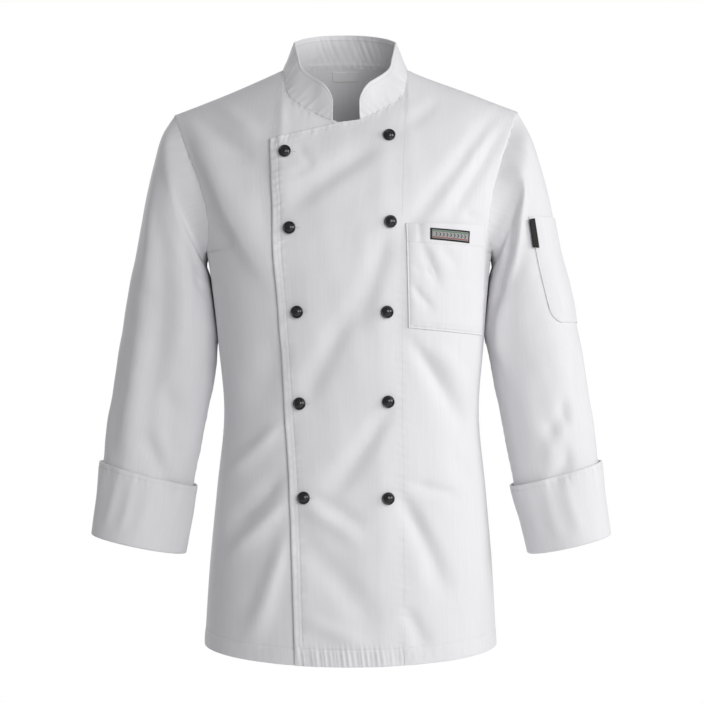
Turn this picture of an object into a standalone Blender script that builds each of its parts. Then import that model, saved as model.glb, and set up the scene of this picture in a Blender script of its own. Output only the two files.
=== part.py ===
"""A double-breasted chef jacket, filled out as if worn, with nobody in it.

Metres, +Z up. The front faces -Y and the wearer's left is +X. The origin is where the wearer's shoulders
carry the jacket: on the centre line, level with the shoulder seams' inner ends. Every cloth piece is a wall
of even thickness over a shape that is worked out from the sizes and the short tables below.
"""

import math
from collections import namedtuple

import bmesh
import bpy
import numpy as np
from mathutils import Vector

# ---------------------------------------------------------------- driving sizes, metres
CLOTH = 0.0015  # a wall of cloth
BAND = 0.0020  # the collar and the cuffs, which have more layers
PATCH = 0.0012  # pockets
SEAM = 0.0003  # the gap between two pieces that are sewn together

ARMPIT = -0.235  # height of the lowest point of the armholes
HEM_SIDE = -0.725  # height of the hem at the side seams
HEM_DIP = {"front": 0.009, "back": 0.004}  # how much lower the hem hangs at the middle
SQUARENESS = 2.4  # of the torso's sections: 2 is an ellipse
NECK_WIDTH = 0.078  # half the distance between the shoulder seams' inner ends
SHOULDER_SLOPE = 0.412  # fall of the shoulder line for each metre outwards
SHOULDER_HOLLOW, SHOULDER_LONG = 0.0018, 0.142  # how far it sags in the middle, and its length in x
SEAM_FORWARD = 0.986  # the shoulder seam lies this far up the front, just before the ridge
LEFT_RISE = 0.0045  # the wearer's left shoulder stands this much higher
BACK_NECK = 0.012  # height of the neckline at the centre back
NECK_RISE = 0.0875  # how far over the shoulders the back would close, if it had no neck hole
ROOF_RISE, ROOF_ROUND = 1.8, 1.6  # how the chest closes over into the shoulders
TURN_UP = 7.0  # how fast its outward direction turns up there

LAP_LIFT = 0.0024  # how far the overlapping front lies above the one below it
TUCK = 0.0016  # how far the lower front is pressed in
FIRST_TOP_X = 0.0165  # where the collar ends, either side of the centre

ROWS_BELOW = 22  # rows of faces from the hem to the armpit
ROWS_ABOVE = 8  # and from there to the shoulder seam
WAIST_CUT = 12  # the row where the solid of the right side front is parted, at the waist
SIDE_CELLS, BACK_CELLS = 9, 20
NECK_CELLS = 5  # of the back's cells, from the centre to the neck's side
NECKLINE_CELLS = 6  # of a front's cells, along half the neckline
LAP_TOP_CELLS, UNDER_TOP_CELLS = 5, 3  # and along the rest of its top

Section = namedtuple("Section", "height half_width front back")
TORSO = [
    Section(-0.740, 0.1850, 0.1350, 0.1260),
    Section(-0.620, 0.1778, 0.1300, 0.1210),
    Section(-0.530, 0.1697, 0.1230, 0.1130),
    Section(-0.430, 0.1610, 0.1160, 0.1010),
    Section(-0.350, 0.1675, 0.1200, 0.1060),
    Section(-0.290, 0.1730, 0.1260, 0.1140),
    Section(-0.235, 0.1800, 0.1290, 0.1200),
    Section(-0.180, 0.1950, 0.1290, 0.1210),
    Section(-0.120, 0.2160, 0.1250, 0.1180),
    Section(-0.060, 0.2350, 0.1150, 0.1100),
    Section(0.040, 0.2600, 0.1050, 0.1020),
]

Edge = namedtuple("Edge", "height x")
ARMHOLE = {
    "front": [Edge(-0.235, 0.1800), Edge(-0.228, 0.1765), Edge(-0.215, 0.1735), Edge(-0.194, 0.1735),
              Edge(-0.177, 0.1760), Edge(-0.139, 0.1865), Edge(-0.103, 0.2000), Edge(-0.055, 0.2185)],
    "back": [Edge(-0.235, 0.1800), Edge(-0.228, 0.1785), Edge(-0.210, 0.1780), Edge(-0.180, 0.1810),
             Edge(-0.140, 0.1900), Edge(-0.100, 0.2025), Edge(-0.055, 0.2185)],
}
LEFT_SEAM = [Edge(-0.740, 0.0645), Edge(-0.550, 0.0625), Edge(-0.350, 0.0615),
             Edge(-0.170, 0.0655), Edge(-0.090, 0.0712), Edge(-0.040, 0.0768), Edge(0.000, 0.0800)]
LAP_EDGE = [Edge(-0.740, -0.0660), Edge(-0.535, -0.0737), Edge(-0.416, -0.0810),
            Edge(-0.236, -0.0900), Edge(-0.098, -0.0937)]
RIGHT_SEAM = [Edge(-0.740, -0.0620), Edge(-0.535, -0.0700), Edge(-0.416, -0.0770), Edge(-0.236, -0.0860),
              Edge(-0.150, -0.0900), Edge(-0.097, -0.0915), Edge(-0.041, -0.0860), Edge(0.000, -0.0800)]
UNDER_EDGE = [Edge(-0.740, 0.0340), Edge(-0.092, 0.0380)]

Corner = namedtuple("Corner", "x height")
NECKLINE = [Corner(0.0000, -0.0785), Corner(0.0165, -0.0735), Corner(0.0300, -0.0670),
            Corner(0.0420, -0.0600), Corner(0.0560, -0.0515), Corner(0.0685, -0.0405),
            Corner(0.0745, -0.0220), Corner(0.0780, 0.0000)]
LAP_TOP = [Corner(-0.0937, -0.0982), Corner(-0.0107, -0.0777), Corner(0.0165, -0.0735)]
UNDER_TOP = [Corner(0.0380, -0.0920), Corner(0.0100, -0.0830), Corner(0.0000, -0.0785)]

# the neck stands a little to the wearer's right of the hem's middle, and the shoulders with it
Lean = namedtuple("Lean", "height shift")
LEAN = [Lean(-0.740, -0.0010), Lean(-0.300, -0.0014), Lean(-0.237, -0.0028), Lean(-0.184, -0.0040),
        Lean(-0.100, -0.0062), Lean(-0.060, -0.0070), Lean(0.000, -0.0082), Lean(0.060, -0.0095)]

# the largest folds: soft ridges, and troughs with a height below 0, that run between two points
Fold = namedtuple("Fold", "x0 z0 x1 z1 width height")
FOLDS = {
    "front": [
        Fold(-0.190, -0.085, -0.104, -0.212, 0.015, 0.0070),
        Fold(-0.196, -0.128, -0.104, -0.240, 0.012, -0.0045),
        Fold(-0.180, -0.074, -0.110, -0.130, 0.010, -0.0050),
        Fold(-0.180, -0.058, -0.104, -0.102, 0.010, 0.0035),
        Fold(0.172, -0.072, 0.076, -0.184, 0.011, -0.0060),
        Fold(0.178, -0.088, 0.092, -0.194, 0.009, 0.0030),
        Fold(0.184, -0.104, 0.108, -0.200, 0.010, -0.0045),
        Fold(0.028, -0.114, -0.074, -0.187, 0.018, -0.0040),
        Fold(0.040, -0.215, -0.002, -0.332, 0.016, -0.0045),
        Fold(-0.002, -0.332, -0.050, -0.416, 0.016, -0.0045),
        Fold(0.044, -0.428, -0.026, -0.524, 0.016, -0.0040),
        Fold(-0.054, -0.541, 0.006, -0.572, 0.011, 0.0045),
        Fold(0.074, -0.352, 0.140, -0.470, 0.014, -0.0050),
        Fold(0.062, -0.537, 0.107, -0.645, 0.014, -0.0055),
        Fold(-0.088, -0.452, -0.150, -0.512, 0.012, 0.0045),
        Fold(-0.084, -0.543, -0.146, -0.597, 0.012, 0.0045),
        Fold(-0.084, -0.590, -0.122, -0.700, 0.014, 0.0055),
        Fold(-0.088, -0.500, -0.150, -0.556, 0.012, -0.0045),
    ],
    "back": [
        Fold(-0.176, -0.105, -0.070, -0.220, 0.014, -0.0050),
        Fold(0.170, -0.112, 0.078, -0.206, 0.013, -0.0055),
        Fold(-0.100, -0.300, -0.020, -0.420, 0.018, -0.0045),
        Fold(0.118, -0.330, 0.038, -0.436, 0.017, -0.0050),
        Fold(-0.140, -0.420, -0.040, -0.450, 0.014, 0.0040),
        Fold(0.130, -0.455, 0.050, -0.480, 0.014, 0.0040),
        Fold(-0.085, -0.520, -0.110, -0.690, 0.018, 0.0055),
        Fold(0.070, -0.540, 0.092, -0.700, 0.018, 0.0050),
        Fold(0.000, -0.500, 0.004, -0.680, 0.020, -0.0045),
    ],
}

# sleeve rings from the armhole down, each given by its point next to the body and its outermost point; slim
# is how much narrower the left one is there on the inside, and wider the right one, and trim on the outside
Ring = namedtuple("Ring", "inner_x inner_z outer_x outer_z front back y slim trim")
SLEEVE = [
    Ring(0.18280, -0.2440, 0.23000, -0.0780, 0.0600, 0.0590, 0.0000, 0.00000, 0.00000),
    Ring(0.18020, -0.2560, 0.24520, -0.1220, 0.0620, 0.0610, 0.0000, 0.00000, 0.00000),
    Ring(0.17740, -0.2720, 0.25770, -0.1750, 0.0620, 0.0610, 0.0000, 0.00000, 0.00050),
    Ring(0.17380, -0.2980, 0.26850, -0.2300, 0.0610, 0.0600, 0.0010, 0.00000, 0.00150),
    Ring(0.17020, -0.3320, 0.28040, -0.2840, 0.0590, 0.0590, 0.0020, 0.00000, 0.00110),
    Ring(0.17400, -0.3720, 0.29130, -0.3430, 0.0560, 0.0570, 0.0030, 0.00300, 0.00080),
    Ring(0.18195, -0.4160, 0.30050, -0.3990, 0.0530, 0.0540, 0.0010, 0.00315, 0.00110),
    Ring(0.19085, -0.4630, 0.30800, -0.4480, 0.0490, 0.0500, -0.0040, 0.00295, 0.00150),
    Ring(0.20285, -0.5310, 0.31325, -0.5010, 0.0450, 0.0450, -0.0120, 0.00335, 0.00075),
    Ring(0.20955, -0.5700, 0.31825, -0.5470, 0.0430, 0.0420, -0.0190, 0.00615, 0.00025),
    Ring(0.21685, -0.6040, 0.32150, -0.5810, 0.0420, 0.0410, -0.0250, 0.00715, 0.00000),
]
SLEEVE_ROWS = 22
SLEEVE_CUT = 9  # the row where the solid of a sleeve is parted, above the elbow

# folds on a sleeve run between two places, each given in degrees round it and as a share of its length
Crease = namedtuple("Crease", "turn0 down0 turn1 down1 width height")
CREASES = {
    "right": [
        Crease(60, 0.25, 64, 0.92, 20, 0.0035),
        Crease(92, 0.56, 135, 0.70, 14, -0.0050),
        Crease(84, 0.70, 128, 0.84, 14, -0.0040),
        Crease(112, 0.10, 140, 0.22, 16, -0.0035),
        Crease(250, 0.45, 215, 0.60, 16, -0.0050),
        Crease(300, 0.30, 290, 0.80, 20, 0.0035),
    ],
    "left": [
        Crease(78, 0.10, 96, 0.27, 15, 0.0045),
        Crease(96, 0.27, 122, 0.50, 15, 0.0045),
        Crease(104, 0.12, 132, 0.40, 14, -0.0060),
        Crease(60, 0.62, 104, 0.72, 13, -0.0040),
        Crease(70, 0.76, 112, 0.86, 13, -0.0035),
        Crease(255, 0.48, 220, 0.62, 16, -0.0050),
        Crease(300, 0.30, 292, 0.80, 20, 0.0035),
    ],
}

COLLAR_HEIGHT = 0.041
COLLAR_ROUND = 0.020  # radius of the collar's front corners
COLLAR_GAP = 0.0008  # between the collar's foot and the neckline
COLLAR_ROWS = 4
COLLAR_MIDDLE = (-0.007, -0.010)  # x and y that it leans in towards
# how far the collar leans in, and how much lower its rim is, by degrees round from the front
Inward = namedtuple("Inward", "degrees share drop")
COLLAR_INWARD = [Inward(0, 0.05, 0.0000), Inward(25, 0.08, 0.0000), Inward(60, 0.42, 0.0010),
                 Inward(88, 0.40, 0.0042), Inward(112, 0.34, 0.0006), Inward(135, 0.28, -0.0006),
                 Inward(180, 0.22, -0.0006)]

CUFF_TOP, CUFF_END = 0.828, 1.010  # shares of the sleeve's length where the turned-back cuff starts and folds
CUFF_STAND = 0.0018  # air between the sleeve and the cuff over it
SLEEVE_END = 0.955  # where the sleeve's own cloth ends, inside the cuff
SLEEVE_LENGTH = 0.545
TURNS_LONG = 300  # its length in the degrees that creases are measured in

BUTTON_RADIUS = 0.0080
BUTTON_SIDES = 14
Knob = namedtuple("Knob", "radius height")
BUTTON_PROFILE = [Knob(0.45, 0.0010), Knob(0.92, 0.0011), Knob(1.00, 0.0024), Knob(0.90, 0.0040),
                  Knob(0.70, 0.0040), Knob(0.40, 0.0056)]
Stud = namedtuple("Stud", "x height")
BUTTONS = {
    "right": [Stud(-0.0749, -0.1154), Stud(-0.0705, -0.2093), Stud(-0.0636, -0.3100), Stud(-0.0622, -0.4204),
              Stud(-0.0567, -0.5333)],
    "left": [Stud(0.0521, -0.0948), Stud(0.0500, -0.2020), Stud(0.0436, -0.3100), Stud(0.0442, -0.4178),
             Stud(0.0440, -0.5339)],
}

POCKET_LEFT, POCKET_RIGHT = 0.0690, 0.1620
POCKET_TOP, POCKET_FOOT = -0.2030, -0.3290
POCKET_TILT = 0.0085  # how much lower its outer foot corner is
POCKET_FLARE = 0.0050  # how much wider it is at the top
POCKET_LIFT = 0.0025
LABEL_X, LABEL_Z = (0.0965, 0.1450), (-0.2087, -0.2224)
LABEL_TILT = 0.0025
LABEL_THICKNESS = 0.0008
LABEL_GAP = 0.0005

# the sleeve pocket's level top and foot, as shares of the sleeve's length, by degrees round it
Level = namedtuple("Level", "turn top foot")
SLEEVE_POCKET_LEVELS = [Level(-70, 0.144, 0.416), Level(-40, 0.183, 0.433), Level(-20, 0.200, 0.440),
                        Level(0, 0.208, 0.443), Level(20, 0.206, 0.440), Level(50, 0.183, 0.430),
                        Level(80, 0.138, 0.411)]
SLEEVE_POCKET_FRONT = (78, 66)  # degrees of its front edge, at the top and at the foot
SLEEVE_POCKET_REAR = (-66, -58)
SLEEVE_POCKET_ROUND = 0.12  # share of its height that its rounded foot corners take
SLEEVE_POCKET_CORNER = 14  # and the degrees that they take
SLEEVE_POCKET_COLUMNS, SLEEVE_POCKET_ROWS = 24, 12
SLEEVE_POCKET_LIFT = 0.0020
TAG_TURN, TAG_DOWN = (79, 69), (0.147, 0.217)
TAG_SLANT = 0.016  # how much further down the sleeve its outer side lies, so that its ends are level
TAG_LIFT = 0.0042
TAG_THICKNESS = 0.0016

NECK_LABEL_X = 0.0165
NECK_LABEL_Z = (0.0070, -0.0050)

COLOURS = {
    "white_twill": ((0.86, 0.86, 0.88, 1.0), 0.85),
    "white_satin": ((0.90, 0.90, 0.90, 1.0), 0.6),
    "black_plastic": ((0.012, 0.012, 0.014, 1.0), 0.22),
    "black_ribbon": ((0.02, 0.02, 0.02, 1.0), 0.7),
    "label_weave": ((0.55, 0.55, 0.50, 1.0), 0.8),
}


# ---------------------------------------------------------------- curves and tables
def smooth(knots, values, at):
    """Reads a curve that passes through every value without a kink."""
    knots, values = np.asarray(knots, float), np.asarray(values, float)
    slope = np.gradient(values, knots, axis=0)
    at = np.clip(np.asarray(at, float), knots[0], knots[-1])
    cell = np.clip(np.searchsorted(knots, at, "right") - 1, 0, len(knots) - 2)
    step = knots[cell + 1] - knots[cell]
    u = (at - knots[cell]) / step
    more = (1,) * (values.ndim - 1)
    u, step = u.reshape(u.shape + more), step.reshape(step.shape + more)
    start, end = values[cell], values[cell + 1]
    return (start * (1 + 2 * u) * (1 - u) ** 2 + end * u * u * (3 - 2 * u)
            + slope[cell] * step * u * (1 - u) ** 2 - slope[cell + 1] * step * u * u * (1 - u))


def column(table, key, name, at):
    """Reads one named column of a table at places given in another of its columns."""
    return smooth([getattr(row, key) for row in table], [getattr(row, name) for row in table], at)


def ease(share):
    share = np.clip(share, 0.0, 1.0)
    return share * share * (3 - 2 * share)


def even_points(points, cells):
    """Points at even distances along a line through the given ones."""
    points = np.asarray(points, float)
    run = np.concatenate([[0], np.cumsum(np.linalg.norm(np.diff(points, axis=0), axis=1))])
    return np.stack([np.interp(np.linspace(0, run[-1], cells + 1), run, points[:, i])
                     for i in range(points.shape[1])], axis=1)


# ---------------------------------------------------------------- the torso's shape
def ridge(x, face):
    """Height of the shoulder ridge; between the shoulders, of a ridge that would close over the neck."""
    x = np.abs(x)
    hollow = SHOULDER_HOLLOW * np.sin(math.pi * np.clip((x - NECK_WIDTH) / SHOULDER_LONG, 0, 1))
    outside = -SHOULDER_SLOPE * np.maximum(x - NECK_WIDTH, 0) - hollow
    if face == "front":
        return outside
    return outside + NECK_RISE * np.maximum(1 - (x / NECK_WIDTH) ** 2, 0) ** 1.5


def side(x, z):
    """How far round towards the side seam a point lies, as an angle from 0 at the centre."""
    share = np.clip(np.abs(x) / column(TORSO, "height", "half_width", z), 0, 1)
    return np.arcsin(share ** (SQUARENESS / 2))


def fold_height(folds, a, b):
    """Sum of soft ridges and troughs at the places (a, b)."""
    total = np.zeros(np.broadcast(a, b).shape)
    for a0, b0, a1, b1, width, height in folds:
        length2 = (a1 - a0) ** 2 + (b1 - b0) ** 2
        along = ((a - a0) * (a1 - a0) + (b - b0) * (b1 - b0)) / length2
        near = np.clip(along, 0, 1)
        away2 = (a - a0 - near * (a1 - a0)) ** 2 + (b - b0 - near * (b1 - b0)) ** 2
        ends = 0.45 + 0.55 * np.sin(np.pi * near)
        total = total + height * ends * np.exp(-away2 / width**2)
    return total


def torso(x, z, face, lift=0.0):
    """Points of the torso's outside at (x, z), moved out by lift, with its folds and its lean."""
    x, z = np.broadcast_arrays(np.asarray(x, float), np.asarray(z, float))
    sign = -1.0 if face == "front" else 1.0
    half = column(TORSO, "height", "half_width", z)
    deep = column(TORSO, "height", face, z)
    share = np.clip(np.abs(x) / half, 0, 1)
    rise = np.clip((z - ARMPIT) / (ridge(x, face) - ARMPIT), 0, 1)
    roof = (1 - rise**ROOF_RISE) ** (1 / ROOF_ROUND)
    y = sign * deep * (1 - share**SQUARENESS) ** (1 / SQUARENESS) * roof
    out_x = np.sign(x) * share ** (SQUARENESS - 1) / half
    out_y = sign * np.maximum(1 - share**SQUARENESS, 0) ** ((SQUARENESS - 1) / SQUARENESS) / deep
    out_z = (1 - roof) * TURN_UP
    out = np.stack([out_x, out_y, out_z], -1)
    out /= np.linalg.norm(out, axis=-1, keepdims=True)
    calm = (1 - share**8) * (1 - rise**6)
    move = lift + fold_height(FOLDS[face], x, z) * calm
    points = np.stack([x, y, z], -1) + out * move[..., None]
    raised = ease((x - NECK_WIDTH) / 0.09) * ease((z - ARMPIT) / 0.15)
    points[..., 0] += column(LEAN, "height", "shift", points[..., 2])
    points[..., 2] += LEFT_RISE * raised
    return points


def torso_facing(x, z, face):
    """Directions that the torso's outside faces at (x, z), the same for every piece that lies there."""
    step = 0.0008
    half = column(TORSO, "height", "half_width", z)
    top = ridge(x, face)
    x0, x1 = np.maximum(x - step, -half), np.minimum(x + step, half)
    z0, z1 = z - step, np.minimum(z + step, np.maximum(top, z - step / 2))
    across = torso(x1, z, face) - torso(x0, z, face)
    up = torso(x, z1, face) - torso(x, z0, face)
    facing = np.cross(across, up) * (1 if face == "front" else -1)
    return facing / np.linalg.norm(facing, axis=-1, keepdims=True)


Cloth = namedtuple("Cloth", "points facing")


def torso_cloth(x, z, face, lift=0.0):
    return Cloth(torso(x, z, face, lift), torso_facing(x, z, face))


def join(parts):
    return Cloth(np.array([part.points for part in parts]), np.array([part.facing for part in parts]))


def hem_height(x, face):
    half = TORSO[0].half_width
    return HEM_SIDE - HEM_DIP[face] * np.maximum(1 - (x / half) ** 2, 0)


def rise_share(row):
    """How far up from the armpit to the shoulder a row lies: close together at both ends."""
    return (1 - math.cos(math.pi * row / ROWS_ABOVE)) / 2


def row_height(row, face):
    """The height of a row of points, as a function of x."""
    if row <= ROWS_BELOW:
        share = row / ROWS_BELOW
        return lambda x: hem_height(x, face) * (1 - share) + ARMPIT * share
    share = rise_share(row - ROWS_BELOW)
    if face == "front":
        share *= SEAM_FORWARD
        return lambda x: ARMPIT + (ridge(x, "front") - ARMPIT) * share
    return lambda x: ARMPIT + (back_top(x) - ARMPIT) * share


def back_neck(x):
    return BACK_NECK * (1 - (np.abs(x) / NECK_WIDTH) ** 2)


def neck_columns():
    """x of the back's columns from the centre to the neck's side, closer together at the side."""
    return NECK_WIDTH * np.sin(np.linspace(0, math.pi / 2, NECK_CELLS + 1))


def back_top(x):
    """Top of the back's even rows: the shoulder ridge, and inside it just under the neckline."""
    inside = np.abs(x) < NECK_WIDTH - 1e-6
    return np.where(inside, back_neck(x) - 0.006, ridge(np.maximum(np.abs(x), NECK_WIDTH), "front"))


def meet(edge, height):
    """Where a row crosses an edge that is given by height."""
    x = edge(ARMPIT)
    for _ in range(30):
        x = edge(height(x))
    return float(x)


def edge_of(table):
    return lambda z: column(table, "height", "x", z)


def side_edge(row, face):
    """The edge that a row starts from: the side seam below the armpit and the armhole above it."""
    if row <= ROWS_BELOW:
        return lambda z: column(TORSO, "height", "half_width", z)
    return edge_of(ARMHOLE[face])


def spread(x_out, x_in, height, cells):
    """x of a row's points from its outer to its inner end, closer together where the body turns."""
    angles = np.linspace(side(x_out, height(x_out)), side(x_in, height(x_in)), cells + 1)
    share = np.sin(angles) ** (2 / SQUARENESS)
    share = (share - share[0]) / (share[-1] - share[0])
    return x_out + (x_in - x_out) * share


# ---------------------------------------------------------------- the cloth panels
def lap_inside(x, z):
    """How far inside the overlapping front's outline a place lies."""
    top = np.interp(x, [c.x for c in LAP_TOP], [c.height for c in LAP_TOP])
    return np.minimum(x - column(LAP_EDGE, "height", "x", z), top - z)


def tuck(x, z):
    return -TUCK * ease((lap_inside(x, z) + 0.006) / 0.012)


def lap_lift(x, z):
    return LAP_LIFT * ease((column(LEFT_SEAM, "height", "x", z) - x) / 0.030)


def side_panel(mirror, seam):
    """The front from the side seam and armhole in to the long seam."""
    rows = []
    for row in range(ROWS_BELOW + ROWS_ABOVE + 1):
        height = row_height(row, "front")
        x_out = meet(side_edge(row, "front"), height)
        x_in = meet(lambda z: mirror * edge_of(seam)(z), height)
        x = mirror * spread(x_out, x_in, height, SIDE_CELLS)
        z = height(x)
        rows.append(torso_cloth(x, z, "front", tuck(x, z) if mirror < 0 else 0.0))
    return join(rows)


def centre_panel(left, right, seam, top, lift):
    """A front panel between two edges with the given points along its top. seam is the edge that is sewn."""
    s = np.linspace(0, 1, len(top))
    rows = []
    for row in range(ROWS_BELOW + 1):
        height = row_height(row, "front")
        x = meet(left, height) * (1 - s) + meet(right, height) * s
        rows.append(np.stack([x, height(x)], 1))
    floor = rows[-1]
    height = row_height(ROWS_BELOW + ROWS_ABOVE, "front")
    shoulder = meet(seam, height)
    top = np.array(top)
    top[0 if seam is left else -1] = shoulder, height(shoulder)
    for row in range(ROWS_BELOW + 1, ROWS_BELOW + ROWS_ABOVE + 1):
        t = rise_share(row - ROWS_BELOW)
        height = row_height(row, "front")
        sides = []
        for edge, start, end in ((left, floor[0], top[0]), (right, floor[-1], top[-1])):
            if edge is seam:
                x = meet(edge, height)
                sides.append(np.array([x, height(x)]))
            else:
                z = start[1] + (end[1] - start[1]) * t
                sides.append(np.array([edge(z), z]))
        across = floor * (1 - t) + top * t
        ends = np.outer(1 - s, sides[0] - across[0]) + np.outer(s, sides[1] - across[-1])
        rows.append(across + ends)
    grid = np.array(rows)
    x, z = grid[..., 0], grid[..., 1]
    return torso_cloth(x, z, "front", lift(x, z))


def neckline():
    """Even points (x, z) along half the front neckline, from the collar's front end to the shoulder seam."""
    x = np.array([c.x for c in NECKLINE])
    z = np.array([c.height for c in NECKLINE])
    run = np.concatenate([[0], np.cumsum(np.hypot(np.diff(x), np.diff(z)))])
    at = np.linspace(np.interp(FIRST_TOP_X, x, run), run[-1], NECKLINE_CELLS + 1)
    points = np.stack([smooth(run, x, at), smooth(run, z, at)], 1)
    points[-1] = NECK_WIDTH, ARMPIT * (1 - SEAM_FORWARD)
    return points


def back_panel():
    rows = []
    for row in range(ROWS_BELOW + ROWS_ABOVE + 2):
        last = row > ROWS_BELOW + ROWS_ABOVE
        height = row_height(min(row, ROWS_BELOW + ROWS_ABOVE), "back")
        if last:
            ahead = row_height(ROWS_BELOW + ROWS_ABOVE, "front")
            x_out = meet(edge_of(ARMHOLE["front"]), ahead)
        else:
            x_out = meet(side_edge(row, "back"), height)
        half = BACK_CELLS // 2
        neck = neck_columns()
        over = np.linspace(NECK_WIDTH, x_out, half - NECK_CELLS + 1)
        top_x = np.concatenate([neck, over[1:]])
        low_x = spread(x_out, 0.0, lambda x: np.minimum(height(x), ARMPIT), half)[::-1]
        share = ease((row - ROWS_BELOW + 6) / (ROWS_ABOVE + 4))
        x = low_x * (1 - share) + top_x * share
        x = np.concatenate([-x[:0:-1], x])
        if not last:
            rows.append(torso_cloth(x, height(x), "back"))
            continue
        at_neck = (np.abs(x) < NECK_WIDTH - 1e-6)[:, None]
        behind, over = torso_cloth(x, back_neck(x), "back"), torso_cloth(x, ahead(x), "front")
        rows.append(Cloth(np.where(at_neck, behind.points, over.points),
                          np.where(at_neck, behind.facing, over.facing)))
    return join(rows)


# ---------------------------------------------------------------- sleeves
def armhole_points(mirror):
    """The armhole's edge on the torso, from the ridge down the front and up the back, and their angles."""
    def point(row, face):
        height = row_height(row, face)
        x = meet(side_edge(row, face), height)
        return torso(mirror * x, height(x), face)

    top = ROWS_BELOW + ROWS_ABOVE
    front = [point(top, "back")] + [point(row, "front") for row in range(top, ROWS_BELOW - 1, -1)]
    back = [point(row, "back") for row in range(ROWS_BELOW + 1, top)] + [front[0]]
    angles = []
    for part in (front, [front[-1]] + back):
        run = np.concatenate([[0], np.cumsum(np.linalg.norm(np.diff(np.array(part), axis=0), axis=1))])
        angles.append(math.pi * run / run[-1])
    return np.array(front + back[:-1]), np.concatenate([angles[0], math.pi + angles[1][1:-1]])


def sleeve_shape(mirror):
    """A function giving the sleeve's outside at shares of its length and angles round it, folds left out."""
    hole, hole_angles = armhole_points(mirror)
    closed_hole = np.concatenate([hole, hole[:1]])
    closed_angles = np.concatenate([hole_angles, [2 * math.pi]])

    def rings(angles):
        first = np.stack([np.interp(angles % (2 * math.pi), closed_angles, closed_hole[:, i])
                          for i in range(3)], -1)
        made = [first]
        for ring in SLEEVE:
            inner = np.array([ring.inner_x + mirror * ring.slim, ring.y, ring.inner_z])
            outer = np.array([ring.outer_x - mirror * ring.trim, ring.y, ring.outer_z])
            depth = np.where(np.sin(angles) > 0, ring.front, ring.back)
            points = ((inner + outer) / 2 + np.outer(np.cos(angles), (outer - inner) / 2)
                      - np.outer(depth * np.sin(angles), [0, 1, 0]))
            points[:, 0] += mirror * column(LEAN, "height", "shift", points[:, 2])
            made.append(points * [mirror, 1, 1])
        return np.array(made)

    middles = rings(hole_angles).mean(axis=1)
    run = np.concatenate([[0], np.cumsum(np.linalg.norm(np.diff(middles, axis=0), axis=1))])
    return lambda down, angles: smooth(run / run[-1], rings(np.asarray(angles)), down), hole_angles


def sleeve_grid(name, down, angles, lift=0.0):
    """Points of a sleeve's outside, a row for each share of its length."""
    mirror = 1 if name == "left" else -1
    shape, _ = sleeve_shape(mirror)
    down, angles = np.asarray(down, float), np.asarray(angles, float)
    grid = shape(down, angles)
    out = grid - ring_heart(shape(down, HOLE_ANGLES))
    out /= np.linalg.norm(out, axis=-1, keepdims=True)
    creases = [Crease(c.turn0, c.down0 * TURNS_LONG, c.turn1, c.down1 * TURNS_LONG, c.width, c.height)
               for c in CREASES[name]]
    height = fold_height(creases, np.degrees(angles)[None, :] % 360, down[:, None] * TURNS_LONG)
    calm = ease(down / 0.10) * (1 - ease((down - 0.80) / 0.10))
    return grid + out * (height * calm[:, None] + lift)[..., None]


def ring_heart(grid):
    return grid.mean(axis=1, keepdims=True)


# ---------------------------------------------------------------- meshes
def outward(grid, heart, closed):
    """Unit normals of a grid of points, away from the heart."""
    if closed:
        around = np.roll(grid, -1, 1) - np.roll(grid, 1, 1)
    else:
        around = np.gradient(grid, axis=1)
    normal = np.cross(around, np.gradient(grid, axis=0))
    normal /= np.linalg.norm(normal, axis=-1, keepdims=True)
    return normal * np.sign(np.sum(normal * (grid - heart)))


def draw_in(grid, gap, sides=("first", "last", "start", "end")):
    """Moves the grid's edges in by a gap, so that sewn pieces stay apart."""
    grid = grid.copy()
    for name, edge, inner in (("first", np.s_[0], np.s_[1]), ("last", np.s_[-1], np.s_[-2]),
                              ("start", np.s_[:, 0], np.s_[:, 1]), ("end", np.s_[:, -1], np.s_[:, -2])):
        if name in sides:
            step = grid[inner] - grid[edge]
            grid[edge] += step / np.linalg.norm(step, axis=-1, keepdims=True) * gap
    return grid


def add_object(name, points, faces, colour):
    """Makes a named object of a closed mesh, with its own material."""
    mesh = bpy.data.meshes.new(name)
    mesh.from_pydata([tuple(p) for p in points], [], faces)
    work = bmesh.new()
    work.from_mesh(mesh)
    bmesh.ops.recalc_face_normals(work, faces=work.faces)
    work.to_mesh(mesh)
    work.free()
    mesh.shade_smooth()
    mesh.set_sharp_from_angle(angle=math.radians(50))
    material = bpy.data.materials.new(name)
    material.use_nodes = True
    shader = material.node_tree.nodes["Principled BSDF"]
    shader.inputs["Base Color"].default_value = COLOURS[colour][0]
    shader.inputs["Roughness"].default_value = COLOURS[colour][1]
    shader.inputs["Metallic"].default_value = 0.0
    mesh.materials.append(material)
    made = bpy.data.objects.new(name, mesh)
    bpy.context.scene.collection.objects.link(made)
    made.parent = JACKET
    return made


def cell_faces(rows, columns, start=0, closed=False):
    """Two triangles for each cell of a grid, always along the same diagonal, so that layers stay parallel."""
    faces = []
    width = columns if closed else columns - 1
    for i in range(rows - 1):
        for j in range(width):
            a, b = start + i * columns + j, start + i * columns + (j + 1) % columns
            c, d = b + columns, a + columns
            faces += [(a, b, c), (a, c, d)]
    return faces


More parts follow.
